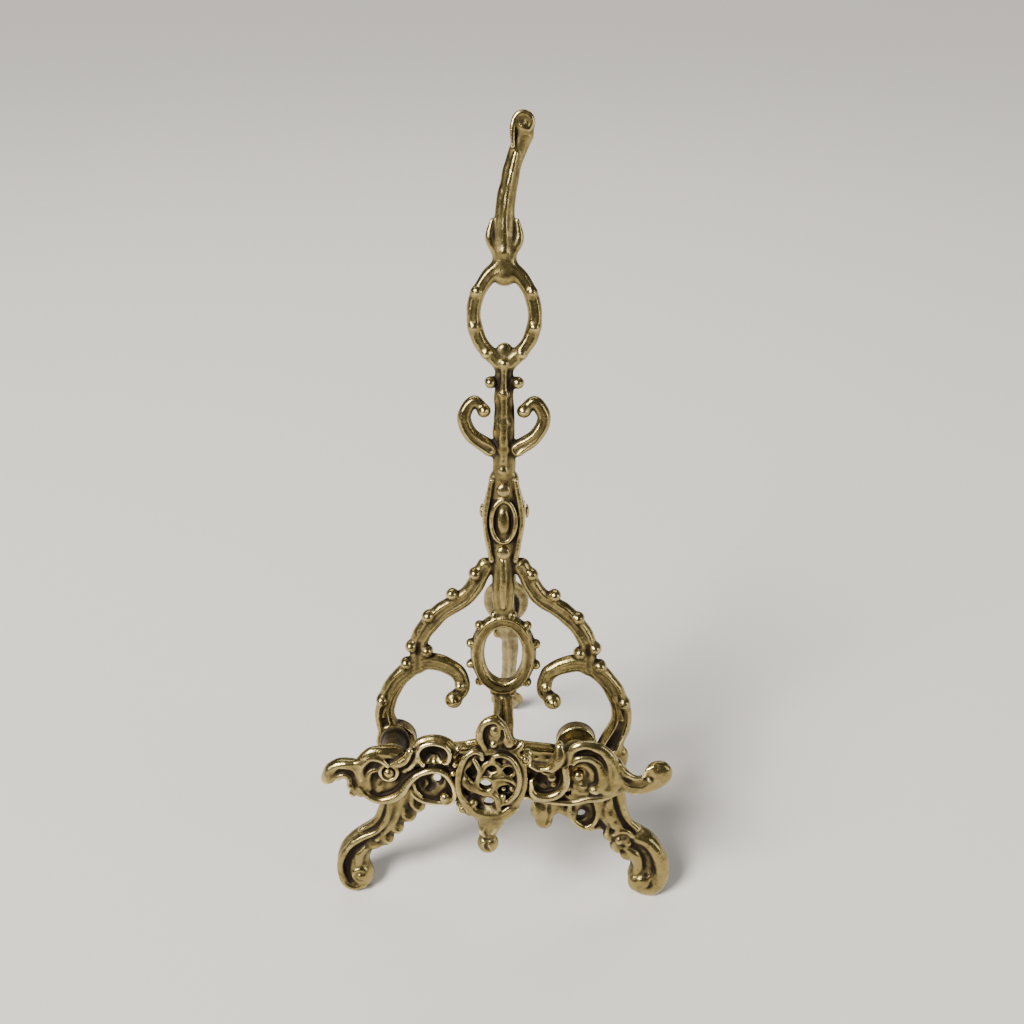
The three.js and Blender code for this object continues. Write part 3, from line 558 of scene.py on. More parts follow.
# %% Gallery: the right ear
gallery.rope([(44, 77), (45.2, 72.8), (48.4, 69.2), (53, 67.8), (57.6, 69), (60.4, 72.2)], 20.4,
             [2.8, 3.9, 4.2, 3.6, 3.5, 4.2], flat=0.7)
gallery.ball((61, 73.2, 20.9), (5.4, 5.4, 3.2))
gallery.groove([(46.8, 74.4), (49.6, 70.6), (53.6, 69.2), (56.4, 70.4)], 23.8, [1.2, 1.7, 1.5, 0.8])
gallery.rope([(45.6, 77.4), (47.6, 74), (50.8, 72), (54.4, 71.4)], 21.8, [1.1, 1.3, 1.1, 0.7])
gallery.rope([(46.8, 66.6), (52, 65.2), (57.4, 66.2), (62, 68.8)], 21.6, [0.7, 0.9, 1.0, 1.0])
gallery.scoop((57.2, 71.3, 24.6), (2.2, 2.2, 2.2))
gallery.ball((57.3, 71.3, 21.9), (1.2, 1.2, 1.5), fillet=0.3)
gallery.rope([(55.2, 72.6), (56.2, 75.2), (58.6, 76.8)], 22.4, [0.6, 0.8, 0.7])
print("right ear drawn")

# %% [markdown]
# The rosette sits on a flat ring in the middle of the gallery, and four rivets pass through. Those places
# are filed flat and drilled after the carving, as a fitter would. The back of the whole casting is filed.

# %% Gallery: the rosette's seat, the drilled holes and the filed back
gallery.weather(seed=3)
ROSETTE = (-3.9, 69.0)
ROSETTE_HALF = (13.6, 16.4)
SEAT_FACE = 21.5
ROSETTE_RIVETS = {"rosette_rivet_lower": (-15.0, 57.4), "rosette_rivet_upper": (9.4, 79.6)}
LEDGE_RIVETS = {"left": (-43.6, 72.4), "right": (30.0, 72.4)}
LEDGE_HOLE = 1.85
gallery.rope(on_oval(*ROSETTE, 11.2, 13.4, count=25), 19.8, 2.1, flat=0.85)
gallery.drill(*ROSETTE, ROSETTE_HALF[0] + 0.2, ROSETTE_HALF[1] + 0.2, back=SEAT_FACE, fillet=0.2)
gallery.drill(*ROSETTE, 9.1, 10.9, fillet=0.5)
for x, v in ROSETTE_RIVETS.values():
    gallery.rope([(x, v), ((x + ROSETTE[0]) / 2, (v + ROSETTE[1]) / 2)], 19.7, 2.8, flat=0.6)
    gallery.drill(x, v, 2.9, back=SEAT_FACE, fillet=0.2)
    gallery.drill(x, v, 1.15)
for x, v in LEDGE_RIVETS.values():
    gallery.drill(x, v, 2.6, back=22.4, fillet=0.2)
    gallery.drill(x, v, LEDGE_HOLE)
gallery.keep(lambda x, v, w: BACK - w)
cast("gallery_rail_cast", gallery, LEANING, GALLERY_SHINE, "gallery_rail")

# %% [markdown]
# ## The rosette
# A separate oval casting, domed and pierced, with a crest above and a drop below. Its two bright C rims hook
# inwards at the top. Inside them lies a web of leaves, with pockets sunk between the leaves
# and two holes that go right through.

# %% Rosette: ring, web and rims
WEB_BACK = 21.8
rosette = Wax([-22, 34, 20.8], [15, 102, 27.8], 0.25)
rosette.sheet(on_oval(*ROSETTE, 12.4, 15.2, count=24), WEB_BACK, 23.2, edge=0.6)
rosette.rope(on_oval(*ROSETTE, 11.6, 14.3, count=25), 23.1, 2.0, flat=0.95)
rosette.scoop((-3.9, 69, 27.4), (8.8, 11.4, 4.9), fillet=0.7)
rosette.ball((-2.0, 70.2, 22.4), (6.4, 8.4, 2.9), fillet=1.4)
rosette.rope([(-0.6, 85), (4.8, 82.9), (8.2, 77.6), (9.2, 71.2), (7.8, 64.2), (3.4, 58.3), (-2, 55.2)], 23.4,
             [0.9, 1.1, 1.2, 1.2, 1.2, 1.1, 0.9])
rosette.rope([(-7.3, 80.8), (-7.6, 82.9), (-10.2, 84), (-13.5, 81.6), (-15.8, 76.1), (-16.4, 70.8),
              (-15.8, 64.9), (-13.8, 61.2)], [24.5, 25.1, 25.3, 25.3, 25.3, 25.3, 25.1, 24.5],
             [1.2, 1.0, 1.1, 1.2, 1.3, 1.3, 1.2, 1.4], fillet=0.5)
rosette.rope([(-3.4, 79.9), (-2.6, 82), (0.7, 82.7), (4.0, 80.9), (6.4, 76.5), (7.2, 71.2), (6.0, 66.2),
              (3.2, 62.4), (-0.6, 60.2)], [24.5, 25.1, 25.3, 25.3, 25.3, 25.3, 25.1, 24.9, 24.5],
             [1.2, 0.95, 1.0, 1.05, 1.1, 1.1, 1.1, 1.0, 0.9], fillet=0.5)
rosette.rope([(-14.4, 60), (-12, 57.2), (-7.8, 55.1), (-3.1, 54.3), (1.9, 55.4), (5.8, 58.6)], 23.9,
             [1.2, 1.5, 1.7, 1.8, 1.7, 1.3])
rosette.rope([(-12.6, 60.4), (-9.6, 57.2), (-5, 55.8), (0, 56.6), (3, 59)], 24.5, [1.1, 1.6, 1.7, 1.5, 1.0],
             fillet=0.8)
print("rosette ring drawn")

# %% Rosette: leaves and holes
POCKET_FLOOR = 22.7
for x, v, half_width, half_height in ((-11.4, 74, 2.2, 2.5), (-12.5, 66.2, 1.8, 1.9), (-3.4, 76.7, 1.8, 1.7),
                                      (1.4, 66.8, 2.6, 2.2), (3.4, 75.4, 2.2, 2.4)):
    rosette.drill(x, v, half_width, half_height, back=POCKET_FLOOR, fillet=0.8)
for x, v, half_width, half_height in ((-5.8, 69.6, 2.4, 2.1), (-4.7, 60.8, 1.9, 2.0)):
    rosette.drill(x, v, half_width, half_height, fillet=0.5)
rosette.rope([(-10.3, 80.4), (-8.9, 77.6), (-8.2, 75), (-8.8, 72.4), (-9.4, 70.4)], 25,
             [0.9, 1.1, 1.1, 1.0, 0.9], fillet=0.5)
rosette.rope([(-14, 73.4), (-13.1, 70.6), (-10.8, 68.4), (-8.4, 66.7), (-6, 65.4), (-3.8, 65)],
             [24.6, 25, 25, 24.9, 24.7, 24.5], [0.9, 2.2, 2.1, 1.5, 1.3, 1.1], flat=0.8, fillet=0.5)
rosette.rope(on_oval(-5.8, 69.6, 3.3, 3.1), 24.8, 0.95, fillet=0.5)
rosette.rope([(-3.2, 71.8), (0, 72.5), (4, 71.6), (6.4, 69)], 24.5, [1.2, 1.4, 1.2, 0.8], fillet=0.6)
rosette.rope([(-7.8, 74), (-6.2, 77.6), (-3.2, 79), (-0.8, 77.4), (-0.8, 74.6), (-3, 73.4)], 24.3, 1.3,
             flat=0.8, fillet=0.7)
rosette.rope(on_oval(2.9, 75.5, 2.7, 2.6, 150, -300, 10), 24.2, 0.9, fillet=0.6)
rosette.rope([(-3.6, 66), (-1.6, 63.4), (-0.9, 60.4), (-0.6, 57.6)], 24.6, [1.1, 1.4, 1.3, 1.0], fillet=0.6)
rosette.rope([(0.9, 64), (1.3, 61.8), (3.4, 61.4), (5.2, 63.6)], 24.3, [1.2, 1.1, 1.0, 0.7], fillet=0.6)
for spot, size in (((1.0, 67, 23.2), 1.2), ((4.4, 67.2, 23.6), 1.3), ((1.2, 79.4, 23.9), 0.9),
                   ((-10.8, 60.6, 23.6), 2.0)):
    rosette.ball(spot, size, fillet=0.8)
print("rosette leaves drawn")

# %% Rosette: crest, drop, beads and the fitter's work
rosette.sheet([(-9.6, 83), (-9, 90), (-6.4, 96), (-2.6, 98.4), (0.8, 95.6), (2.6, 90), (4.4, 85), (2, 82)],
              WEB_BACK, 23.4, edge=0.7)
rosette.rope([(-6.6, 85.2), (-8, 88.8), (-7.8, 92.8), (-5.8, 95.8), (-2.8, 96.8), (-0.2, 94.8), (1.4, 91),
              (3, 87)], 23.8, [1.4, 1.6, 1.6, 1.6, 1.6, 1.7, 1.9, 2.0])
rosette.ball((-1.4, 90.4, 23.2), (4.4, 6.0, 1.7))
rosette.groove([(-5.2, 87.4), (-5.8, 91), (-4.8, 94), (-2.4, 95)], 25.0, [0.8, 0.9, 0.8, 0.5])
rosette.ball((-2.3, 92.4, 24.2), (2.2, 2.4, 1.5), fillet=0.5)
rosette.groove(on_oval(-2.3, 92.5, 1.2, 1.3, 160, 250, 9), 25.7, 0.45, fillet=0.3)
rosette.groove([(0.4, 93), (0.6, 90.4), (-0.6, 88.4)], 25.2, [0.5, 0.8, 0.6])
rosette.rope([(-12.4, 86.6), (-10.4, 87), (-9, 86.4)], 22.9, 1.1)
for spot, size in (((-2.8, 86.8, 23.9), 1.7), ((2.0, 89.4, 24.2), 1.3), ((-14.6, 83.4, 22.8), 1.4),
                   ((4.8, 87, 22.9), 1.2), ((-14.8, 59.9, 23.2), 1.0), ((-12.4, 55, 23), 1.1),
                   ((-9.8, 53.4, 22.9), 0.9)):
    rosette.ball(spot, size, fillet=0.6)
rosette.rope([(5.2, 83.2), (6.8, 84.4), (7.8, 86)], [23, 22.9, 22.8], [1.7, 1.4, 1.0], flat=0.8)
rosette.weather(seed=5, depth=0.1, lump=2.6)
rosette.sheet([(-9.4, 55), (-7.8, 48), (-8.6, 42), (-5.4, 38.2), (-2.2, 42), (-2.4, 48), (1.8, 55)],
              WEB_BACK, 23.4, edge=0.7)
rosette.rope([(-3.6, 54), (-4.4, 50.4), (-5.1, 46.6)], 22.9, [5.6, 4.5, 3.3], flat=0.55)
rosette.ball((-5.1, 42.1, 23.1), (4.2, 4.4, 2.8), fillet=0.5)
rosette.rope([(-6.4, 50.6), (-7.4, 48.4), (-6.6, 46.4)], 24.4, [0.9, 1.3, 0.9], fillet=0.6)
rosette.rope([(-2.8, 52.4), (-2.4, 50), (-3.4, 47.4)], 24.8, [0.7, 0.9, 0.6], fillet=0.6)
rosette.groove([(-9, 45.5), (-5.2, 44.9), (-1.6, 45.9)], 25.3, 0.6, fillet=0.4)
rosette.groove([(-5.4, 44), (-5.8, 41.8), (-4.4, 39.8)], 25.9, 0.9, fillet=0.5)
rosette.rope([(-7, 43.4), (-7.6, 41.2), (-6.2, 39.4)], 24.3, [0.6, 0.9, 0.7], fillet=0.5)
for x, v in ROSETTE_RIVETS.values():
    rosette.rope([(x, v), ((x * 3 + ROSETTE[0]) / 4, (v * 3 + ROSETTE[1]) / 4)], 22.7, 2.5, flat=0.5)
    rosette.drill(x, v, 1.35, back=23.5, fillet=0.2)
    rosette.drill(x, v, 1.1)
rosette.keep(lambda x, v, w: WEB_BACK - w)
cast("rosette_cast", rosette, LEANING, ROSETTE_SHINE, "rosette")

# %% [markdown]
# ## The easel frame
# One tall casting behind the plate: two scroll legs, a crossbar, and above it an openwork of scrolls that
# narrows to a curled finial. The legs are the boldest modelling, almost round, with a bright rim that runs
# down the outside and winds into the foot.

# %% Frame: the left leg
TROUGH_BACK = -6.0
MIDDLE = -2.9
LEFT_LEG = [(-50, 60), (-50.5, 45), (-53.5, 35.5), (-62, 29), (-69, 21), (-71, 12), (-68.5, 3),
            (-63.5, -0.5), (-58, 2), (-55.5, 8), (-57, 15), (-54.5, 20.5), (-48.5, 22.5), (-44.5, 30),
            (-38, 36), (-33, 43), (-33, 60)]
RIGHT_LEG = [(50, 62), (51, 44), (54.5, 34.5), (62.5, 30), (69, 20), (71, 11), (68, 3), (62.5, -0.5),
             (56, 2.5), (53.5, 9), (54.5, 15), (49.5, 21), (45, 27), (42, 34), (38, 46), (36, 62)]
easel = Wax([-74, -3, -7.2], [74, 317, 4.6], 0.42)
for outline in (LEFT_LEG, RIGHT_LEG):
    easel.sheet(outline, TROUGH_BACK, -0.9, edge=2.4)
easel.rope([(-42, 60), (-43, 50), (-45.6, 40), (-51, 31), (-58.6, 25.4), (-63.2, 19), (-64, 12.4),
            (-62.6, 7.6)], MIDDLE, [8.4, 7.4, 6.2, 5.2, 5.0, 5.2, 5.8, 6.9], flat=0.56)
easel.rope([(-37, 56), (-39, 46), (-42, 38)], -3.2, [4.6, 4.2, 3.4], flat=0.7)
easel.ball((-62.6, 7.4, -2.2), (7.2, 7.6, 3.6))
easel.rope([(-50, 59), (-49.8, 50), (-50.2, 42), (-52.2, 36.4), (-55.6, 32.6), (-60, 29.8)], -1.2,
           [1.2, 1.2, 1.2, 1.3, 1.2, 1.0])
easel.groove([(-48.2, 52), (-48.4, 44), (-50.4, 36.4), (-54.4, 31)], 0.9, [0.7, 0.9, 1.0, 0.8])
easel.groove([(-54, 26.6), (-59.6, 24), (-64.4, 18.4), (-66.2, 11.6), (-64.8, 6)], 1.2,
             [0.8, 1.6, 1.9, 1.8, 1.2])
easel.rope([(-46.2, 59), (-46.2, 50), (-46.9, 42), (-48.8, 35.6), (-52.8, 30.4), (-59.3, 27.1), (-64.8, 22.7),
            (-68.2, 16.8), (-69, 9.8), (-67.2, 4.4), (-63.2, 2.2), (-59.4, 3.4)],
           [0.2, 0.2, 0.2, 0.3, 0.4, 0.4, 0.4, 0.2],
           [1.0, 1.1, 1.2, 1.2, 1.3, 1.4, 1.5, 1.5, 1.5, 1.5, 1.4, 1.2])
easel.ball((-60.8, 8.6, -0.6), (4.4, 4.8, 2.9))
easel.groove([(-57.6, 12.8), (-61, 13.6), (-64.6, 11.4), (-65.2, 7.4), (-62.6, 4.4)], 1.7,
             [0.6, 1.0, 1.1, 1.1, 0.7])
easel.groove(on_oval(-60.4, 8.4, 2.2, 2.3, 60, 230, 9), 2.2, 0.8)
easel.rope([(-58.2, 21.4), (-60.8, 18), (-61.2, 14)], -0.6, [1.4, 1.9, 1.4])
easel.rope([(-41.4, 56), (-42, 46), (-44.4, 37.4), (-48.4, 31), (-53, 26)], -0.2, [1.1, 1.1, 1.2, 1.2, 1.0])
for spot, size in (((-35.6, 41.8, -2.4), (3.2, 3.2, 2.8)), ((-39.6, 36.6, -2.4), (3.2, 2.8, 2.8)),
                   ((-44.6, 31, -2.4), (3, 3, 2.8)), ((-49.2, 25.6, -2.4), (3.2, 3, 2.8)),
                   ((-54.4, 22.6, -2.4), (3.2, 2.4, 2.6))):
    easel.ball(spot, size, fillet=1.4)
for stretch in ([(-37.8, 48), (-37.8, 43.6), (-35.4, 40.8)], [(-41.6, 41.6), (-41.2, 38), (-39, 35.8)],
                [(-46, 35), (-45.6, 31.6), (-43.6, 30)], [(-50.6, 29.4), (-49.8, 26.6), (-48, 24.6)]):
    easel.rope(stretch, -0.4, [0.9, 1.2, 1.0], fillet=0.8)
print("left leg drawn")

# %% Frame: the right leg
easel.rope([(42, 61), (43, 50), (45.6, 41), (50, 33), (57, 27), (62, 20.6), (63.6, 13), (62.6, 8)], MIDDLE,
           [8.6, 7.6, 6.2, 5.2, 5.4, 5.6, 6.0, 7.2], flat=0.56)
easel.ball((62.4, 7.2, -1.8), (8.0, 7.8, 4.2))
easel.rope([(49.8, 60), (49.2, 51), (49.9, 43), (52.8, 36.6), (56.6, 33)], -1, [1.6, 1.5, 1.7, 1.5, 1.3])
easel.groove([(46.9, 55), (46.6, 48), (48, 41.4), (50.6, 36.6)], 1.1, [1.0, 1.1, 0.9, 0.6])
easel.rope([(41.6, 59), (41.2, 52), (43.6, 45), (45.4, 39.4), (49.2, 33.4)], 0, [2.0, 2.4, 2.1, 2.7, 1.9],
           flat=0.8)
easel.groove([(44.4, 50.6), (42.6, 47.4), (41.6, 43.4)], 1.7, [0.5, 0.9, 0.6])
easel.rope([(38.2, 52), (40, 45), (41.6, 39.4), (45, 34.6)], -0.9, [1.3, 1.6, 1.5, 1.4])
easel.ball((46.6, 36, 0.9), (1.5, 2.0, 1.2))
easel.ball((50.6, 28.8, -1.2), (3.9, 3.7, 2.9))
easel.rope([(46.8, 31), (49.2, 32.8), (52.2, 32.6), (54.4, 30.2)], 0.7, [0.8, 1.2, 1.3, 0.8])
easel.ball((49, 28.2, 0.9), (1.5, 1.9, 1.4))
easel.ball((52.8, 26.6, 0.2), (1.6, 1.6, 1.5))
easel.scoop((51.4, 29.8, 2.4), (1.5, 1.1, 1.3))
easel.rope([(57, 28.6), (61.6, 26.6), (65.6, 21.8), (67.6, 15), (67, 8.4), (63.8, 3.6)],
           [-1, -0.6, -0.4, -0.4], [2.4, 3.0, 3.2, 3.3, 3.2, 2.4])
easel.groove([(56.8, 23.6), (59.8, 19.6), (61, 14.4), (60.8, 11.4)], 1.9, [0.5, 0.8, 1.2, 1.0])
easel.rope([(52.4, 24), (56, 20.6), (57.8, 15), (57, 11)], -0.7, [1.8, 2.6, 2.2, 1.6])
easel.rope([(62.6, 24.4), (65, 20), (66, 14)], 0.9, [0.7, 1.1, 0.7], fillet=1.4)
easel.ball((59.4, 8.6, 0.5), (2.8, 2.7, 2.2))
easel.groove([(59.8, 4.6), (62.6, 6.2), (63.4, 9.6)], 2.4, [0.5, 0.8, 0.5])
easel.ball((56.8, 6.8, -1), (3.4, 4.4, 3.2))
for spot, size in (((45.2, 29.4, -2.4), (3, 3, 2.8)), ((48.4, 23.8, -2.4), (3, 2.8, 2.8)),
                   ((53, 19.6, -2.4), (3.2, 2.8, 2.8))):
    easel.ball(spot, size, fillet=1.4)
for stretch in ([(44.2, 33), (44, 29.8), (45.2, 27.6)], [(47.4, 26.4), (47.4, 23.6), (49, 21.8)]):
    easel.rope(stretch, -0.4, [0.9, 1.2, 1.0], fillet=0.8)
print("right leg drawn")

# %% Frame: the bracket inside the right leg, and the crossbar
easel.sheet([(26.6, 52), (27.4, 38.6), (31, 33.2), (37, 31.4), (44, 31.4), (47, 40), (44, 56)], TROUGH_BACK,
            -1.6, edge=1.6)
easel.scoop((34, 39.6, 2.2), (4.9, 6.2, 5.0))
easel.rope([(28.2, 46), (28, 40.6), (30, 36), (33.6, 33.2), (38, 32.6)], -1.2, [1.1, 1.1, 1.1, 1.2, 1.2])
easel.rope([(38.8, 46), (39.8, 40.6), (38.6, 35.6), (36, 33.6)], -0.6, [1.2, 1.2, 1.1, 0.9])
easel.drill(32.8, 38.2, 2.1, fillet=0.4)
easel.rope([(15.4, 58), (17, 50), (20.4, 44), (24.8, 41), (29, 38.6)], MIDDLE, [4.2, 4.4, 3.8, 2.5, 2.6],
           flat=0.9)
easel.ball((17, 41, -2.4), (5.4, 6.2, 3.8))
easel.ball((17.4, 35.6, -2.2), (3.9, 3.8, 3.3))
easel.groove([(21.4, 48), (19.6, 44), (20, 39.6), (18.4, 36)], 1.2, [0.8, 1.2, 1.1, 0.6])
easel.rope([(13.6, 44.6), (14.2, 41), (15.4, 38.6)], 0, [0.7, 0.9, 0.7])
easel.rope([(-45, 66), (-22, 65), (0, 67), (22, 65), (45, 66)], MIDDLE, [6.5, 6.2, 6.5, 6.2, 6.5], flat=0.48)
for level in (70, 62):
    easel.rope([(-42, level), (-22, level - 1), (0, level + 1), (22, level - 1), (42, level)], -0.8, 1.2)
for i in range(-4, 5):
    easel.ball((i * 4.6, 66 + 0.25 * (4 - abs(i)), -1), (1.5, 1.5, 1.6), fillet=0.4)
print("bracket and crossbar drawn")

# %% [markdown]
# What stands behind the plate follows the same hand: every scroll is a gutter between two rims, some end in
# a rolled volute, and small buds mark where scrolls meet. One function draws such a scroll on both sides.

# %% Frame: paired scrolls above the crossbar


def gutter(points, widths, volute=0.0, centre=MIDDLE):
    """A flat scroll between two raised rims, on both sides of the middle, ending in a ball of size volute."""
    for side in (1, -1):
        line = [(side * x, v) for x, v in points]
        half = np.array(widths, float) / 2
        easel.rope(line, centre, half + 0.1, flat=float(2.9 / half.mean()))
        easel.groove(line, 1.1, [h * 0.5 for h in half], flat=1.1, fillet=0.6)
        easel.rope(line[1:-1], -1.2, half[1:-1] * 0.22, fillet=0.4)
        if volute:
            easel.ball((*line[-1], -1.6), (volute, volute, 2.6), fillet=0.6)
            easel.ball((*line[-1], 0.2), volute * 0.42, fillet=0.3)


def buds(spots, size):
    """Round buds on both sides of the middle."""
    for x, v in spots:
        for side in (1, -1) if x else (1,):
            easel.ball((side * x, v, -2.0), (size, size, size + 0.6), fillet=0.6)


gutter([(-44, 72), (-48.2, 84), (-43, 99), (-31, 108), (-19, 104), (-16.4, 96), (-20, 91.6)],
       [10, 8, 7.4, 7, 6.4, 5.6, 5], volute=3.6)
gutter([(-34, 106), (-33, 118), (-25, 129), (-14, 137), (-7, 149)], [6, 7, 7.2, 7, 6.4])
gutter([(-5, 196), (-12, 201), (-14.8, 208), (-11, 213.6), (-7.4, 210.4)], [6, 5.4, 5, 4.6, 4.2], volute=2.6)
gutter([(-2, 228), (-9, 236), (-11, 247), (-7, 257), (0, 264)], [5, 5.2, 5.2, 5.2, 5])
buds([(-48.8, 91), (-38.6, 107.4), (-36.4, 115), (-29.4, 128), (-20, 137.4), (-11, 146), (-30.4, 113)], 2.6)
buds([(-12.4, 128), (-16.6, 120), (-17.4, 98)], 2.2)
buds([(0, 228), (-6.4, 231.6), (-10.8, 241), (-9.8, 253.4), (0, 267), (-5, 221)], 2.3)
print("scrolls above the crossbar drawn")

# %% Frame: stem, cartouche, neck and finial
easel.rope([(0, 66), (0, 96)], MIDDLE, [4.5, 4.0], flat=0.68)
easel.rope([(0, 128), (0, 150), (0, 186), (0, 232)], MIDDLE, [4.0, 4.4, 4.4, 3.2], flat=0.62)
easel.sheet([(0, 147), (-5, 151), (-5.6, 158), (-7.8, 168), (-6.2, 178), (-5, 186), (0, 189), (5, 186),
             (6.2, 178), (7.8, 168), (5.6, 158), (5, 151)], TROUGH_BACK, -1.2, edge=1.6)
easel.rope(on_oval(0, 112, 10.4, 14.4, count=25), MIDDLE, 2.9, flat=1.0)
easel.rope(on_oval(0, 112, 11.6, 15.8, count=25), -0.6, 1.0, fillet=0.5)
easel.rope(on_oval(0, 112, 8.9, 12.9, count=25), -0.6, 0.9, fillet=0.5)
for i in range(12):
    turn = math.radians(30 * i + 15)
    easel.ball((13.4 * math.cos(turn), 112 + 17.4 * math.sin(turn), -2.4), (1.9, 1.9, 2.3), fillet=0.5)
easel.rope([(0, 74), (0, 84), (0, 93)], -0.4, [1.6, 2.0, 1.2])
easel.rope([(0, 133), (0, 142), (0, 152)], -0.4, [1.2, 1.9, 1.0])
easel.rope(on_oval(0, 168, 4.6, 8.4, count=21), -0.2, 0.9, fillet=0.5)
easel.ball((0, 168, -0.4), (2.4, 5.2, 1.7), fillet=0.5)
for side in (-1, 1):
    easel.rope([(side * 4.6, 152), (side * 6, 160), (side * 7, 168), (side * 6, 176), (side * 4.6, 184)],
               -1.0, 1.1, fillet=0.6)
easel.rope([(0, 186.6), (0, 200), (0, 214), (0, 226)], -0.5, [1.0, 1.8, 1.4, 1.0])
for v, size in ((188, 2.2), (196, 2.4), (206, 2.6), (217, 2.2)):
    easel.ball((0, v, -0.8), (size, size * 0.9, 1.8), fillet=0.5)
easel.rope([(0, 260), (0, 270), (0.2, 281), (2, 293), (4.4, 301), (6.4, 306)], MIDDLE,
           [4.6, 4.0, 3.5, 3.1, 3.2, 3.6], flat=0.78)
easel.rope([(0, 268), (0.2, 281), (2, 292), (4, 300)], -0.4, [0.9, 1.2, 1.1, 0.9])
for side in (-1, 1):
    easel.rope([(side * 2.4, 266), (side * 5.2, 272), (side * 4.4, 278)], -2, [1.5, 1.6, 0.8])
easel.ball((6.2, 309.8, -2.6), (4.2, 4.2, 3.6))
easel.rope([(2.8, 302.4), (2.6, 308.8), (4.4, 312.3), (7.6, 312.6), (9.2, 310), (8, 307.6), (6, 308.2)], 0.1,
           [0.9, 1.1, 1.1, 1.1, 1.0, 0.9, 0.8], fillet=0.6)
easel.scoop((6.1, 310.1, 1.8), (1.2, 1.2, 1.5))
print("stem and finial drawn")

# %% Frame: bosses, drilled holes, filed back and feet
easel.weather(seed=7, depth=0.22, lump=4.2)
for x, v in LEDGE_RIVETS.values():
    easel.sheet(on_oval(x, v, 8.2, 8.2), TROUGH_BACK, 0, edge=0.6)
    easel.drill(x, v, 8.8, back=0, fillet=0.2)
    easel.drill(x, v, LEDGE_HOLE)
BRACKET_RIVETS = {"bracket_rivet_upper": HINGE_V + 12.5, "bracket_rivet_lower": HINGE_V - 12.5}
for v in BRACKET_RIVETS.values():
    easel.drill(0, v, 3.0, back=0, fillet=0.2)
    easel.drill(0, v, 1.7)
easel.keep(lambda x, v, w: TROUGH_BACK - w)
easel.keep(lambda x, v, w: -(v * math.cos(LEAN) + w * math.sin(LEAN)), fillet=0.3)
cast("easel_frame_cast", easel, LEANING, EASEL_SHINE, "easel_frame")

# %% [markdown]
# ## The rear leg
# The prop behind is a plainer casting, because nobody sees it: a tapering bar with a rib, a pair of leaves
# and a round foot. Its head is bored for the hinge pin, and a heel above the bore meets the bracket when the
# leg is open. It is drawn on its own board, with the hinge axis at the origin.

# %% Cast the rear leg
REAR_FOOT_LOW = hinge_centre[2] / math.cos(REAR_SPLAY)
PIN_RADIUS = 1.6
PIN_PLAY = 0.08
prop = Wax([-12, -REAR_FOOT_LOW - 3, -6.4], [12, 11, 6], 0.36)
toe = -REAR_FOOT_LOW
prop.rope([(0, 5), (0, -14), (0, -40), (0.2, -66), (1.5, -104), (0, -136), (-2.6, toe + 12)], 0,
          [4.3, 4.5, 4.4, 4.4, 3.9, 3.5, 4.2], flat=0.56)
prop.ball((-0.5, toe + 7.2, 0), (8.2, 8.0, 2.6))
for w in (1.8, -1.8):
    prop.rope(on_oval(-0.5, toe + 7.4, 4.6, 4.6, 200, -330, 14), w, [1.0, 1.1, 1.2, 1.1], fillet=0.5)
prop.ball((-0.5, toe + 7.4, 0), (2.4, 2.4, 3.2), fillet=0.5)
prop.rope([(0, -16), (0, -50), (0.6, -84), (1.3, -108), (0.4, -132)], -2.3, [1.3, 1.2, 1.1, 1.1, 0.8])
prop.rope([(0, -16), (0, -50), (0.6, -84), (1.3, -108), (0.4, -132)], 2.0, [1.0, 0.9, 0.9, 0.8, 0.6])
for side in (-1, 1):
    prop.rope([(0, -49), (side * 6, -56), (side * 7.6, -66), (side * 6, -74), (side * 3, -79)], 0,
              [2.4, 2.6, 2.3, 2.1, 1.6], flat=0.85)
    prop.rope([(side * 2, -52), (side * 5.4, -58), (side * 6.6, -66)], -1.7, [0.7, 0.8, 0.6], fillet=0.4)
    prop.ball((side * 4.4, -92, 0), (1.9, 2.4, 1.9))
prop.rope([(0, -82), (0.6, -92)], 0, [3.4, 5.0], flat=0.45)
prop.carve(*prop.sheet_distance(on_oval(0, 0, 9, 7), -9, -4.2, 0.2), 0.2)
prop.weather(seed=9, depth=0.18, lump=4.0)
EYE_HALF_WIDTH, EYE_RADIUS = 4.6, 4.2


def along_hinge(x, v, w, radius, half_width):
    """Distance to a bar of round section along the hinge axis."""
    return np.maximum(np.sqrt(v * v + w * w) - radius, np.abs(x) - half_width)


block, x, v, w = prop.window([-8, -8, -8], [8, 8, 8])
prop.join(block, along_hinge(x, v, w, EYE_RADIUS, EYE_HALF_WIDTH).astype(np.float32), 0.4)
# The flanks beside the bracket's ears and washers stay clear.
beside = np.maximum(EYE_HALF_WIDTH - np.abs(x), np.sqrt(v * v + w * w) - 5.4)
prop.carve(block, beside.astype(np.float32), 0.2)
prop.carve(block, along_hinge(x, v, w, PIN_RADIUS + PIN_PLAY, 20).astype(np.float32), 0.15)
PLATE_BACK = -8.6  # on the leaning board, just behind the bracket's plate


def into_plate(x, v, w):
    """How far a point of the prop's board lies inside the bracket's plate when the leg is open."""
    turn, origin = REAR
    y = origin[1] + turn[1, 1] * v + turn[1, 2] * w
    z = origin[2] + turn[2, 1] * v + turn[2, 2] * w
    out = (y - LEANING[1][1]) * slope_out[1] + (z - LEANING[1][2]) * slope_out[2]
    return out - PLATE_BACK


prop.keep(into_plate, fillet=0.2)
prop.keep(lambda x, v, w: -(hinge_centre[2] + REAR[0][2, 1] * v + REAR[0][2, 2] * w), fillet=0.3)
cast("rear_leg_cast", prop, REAR, PROP_SHINE, "rear_leg")

# %% [markdown]
# ## Ledge arms and hinge bracket
# The two sleeves that carry the plate's rim and the bracket for the prop are simple castings, filed to fit.
# The same wax makes them, with crisper edges.

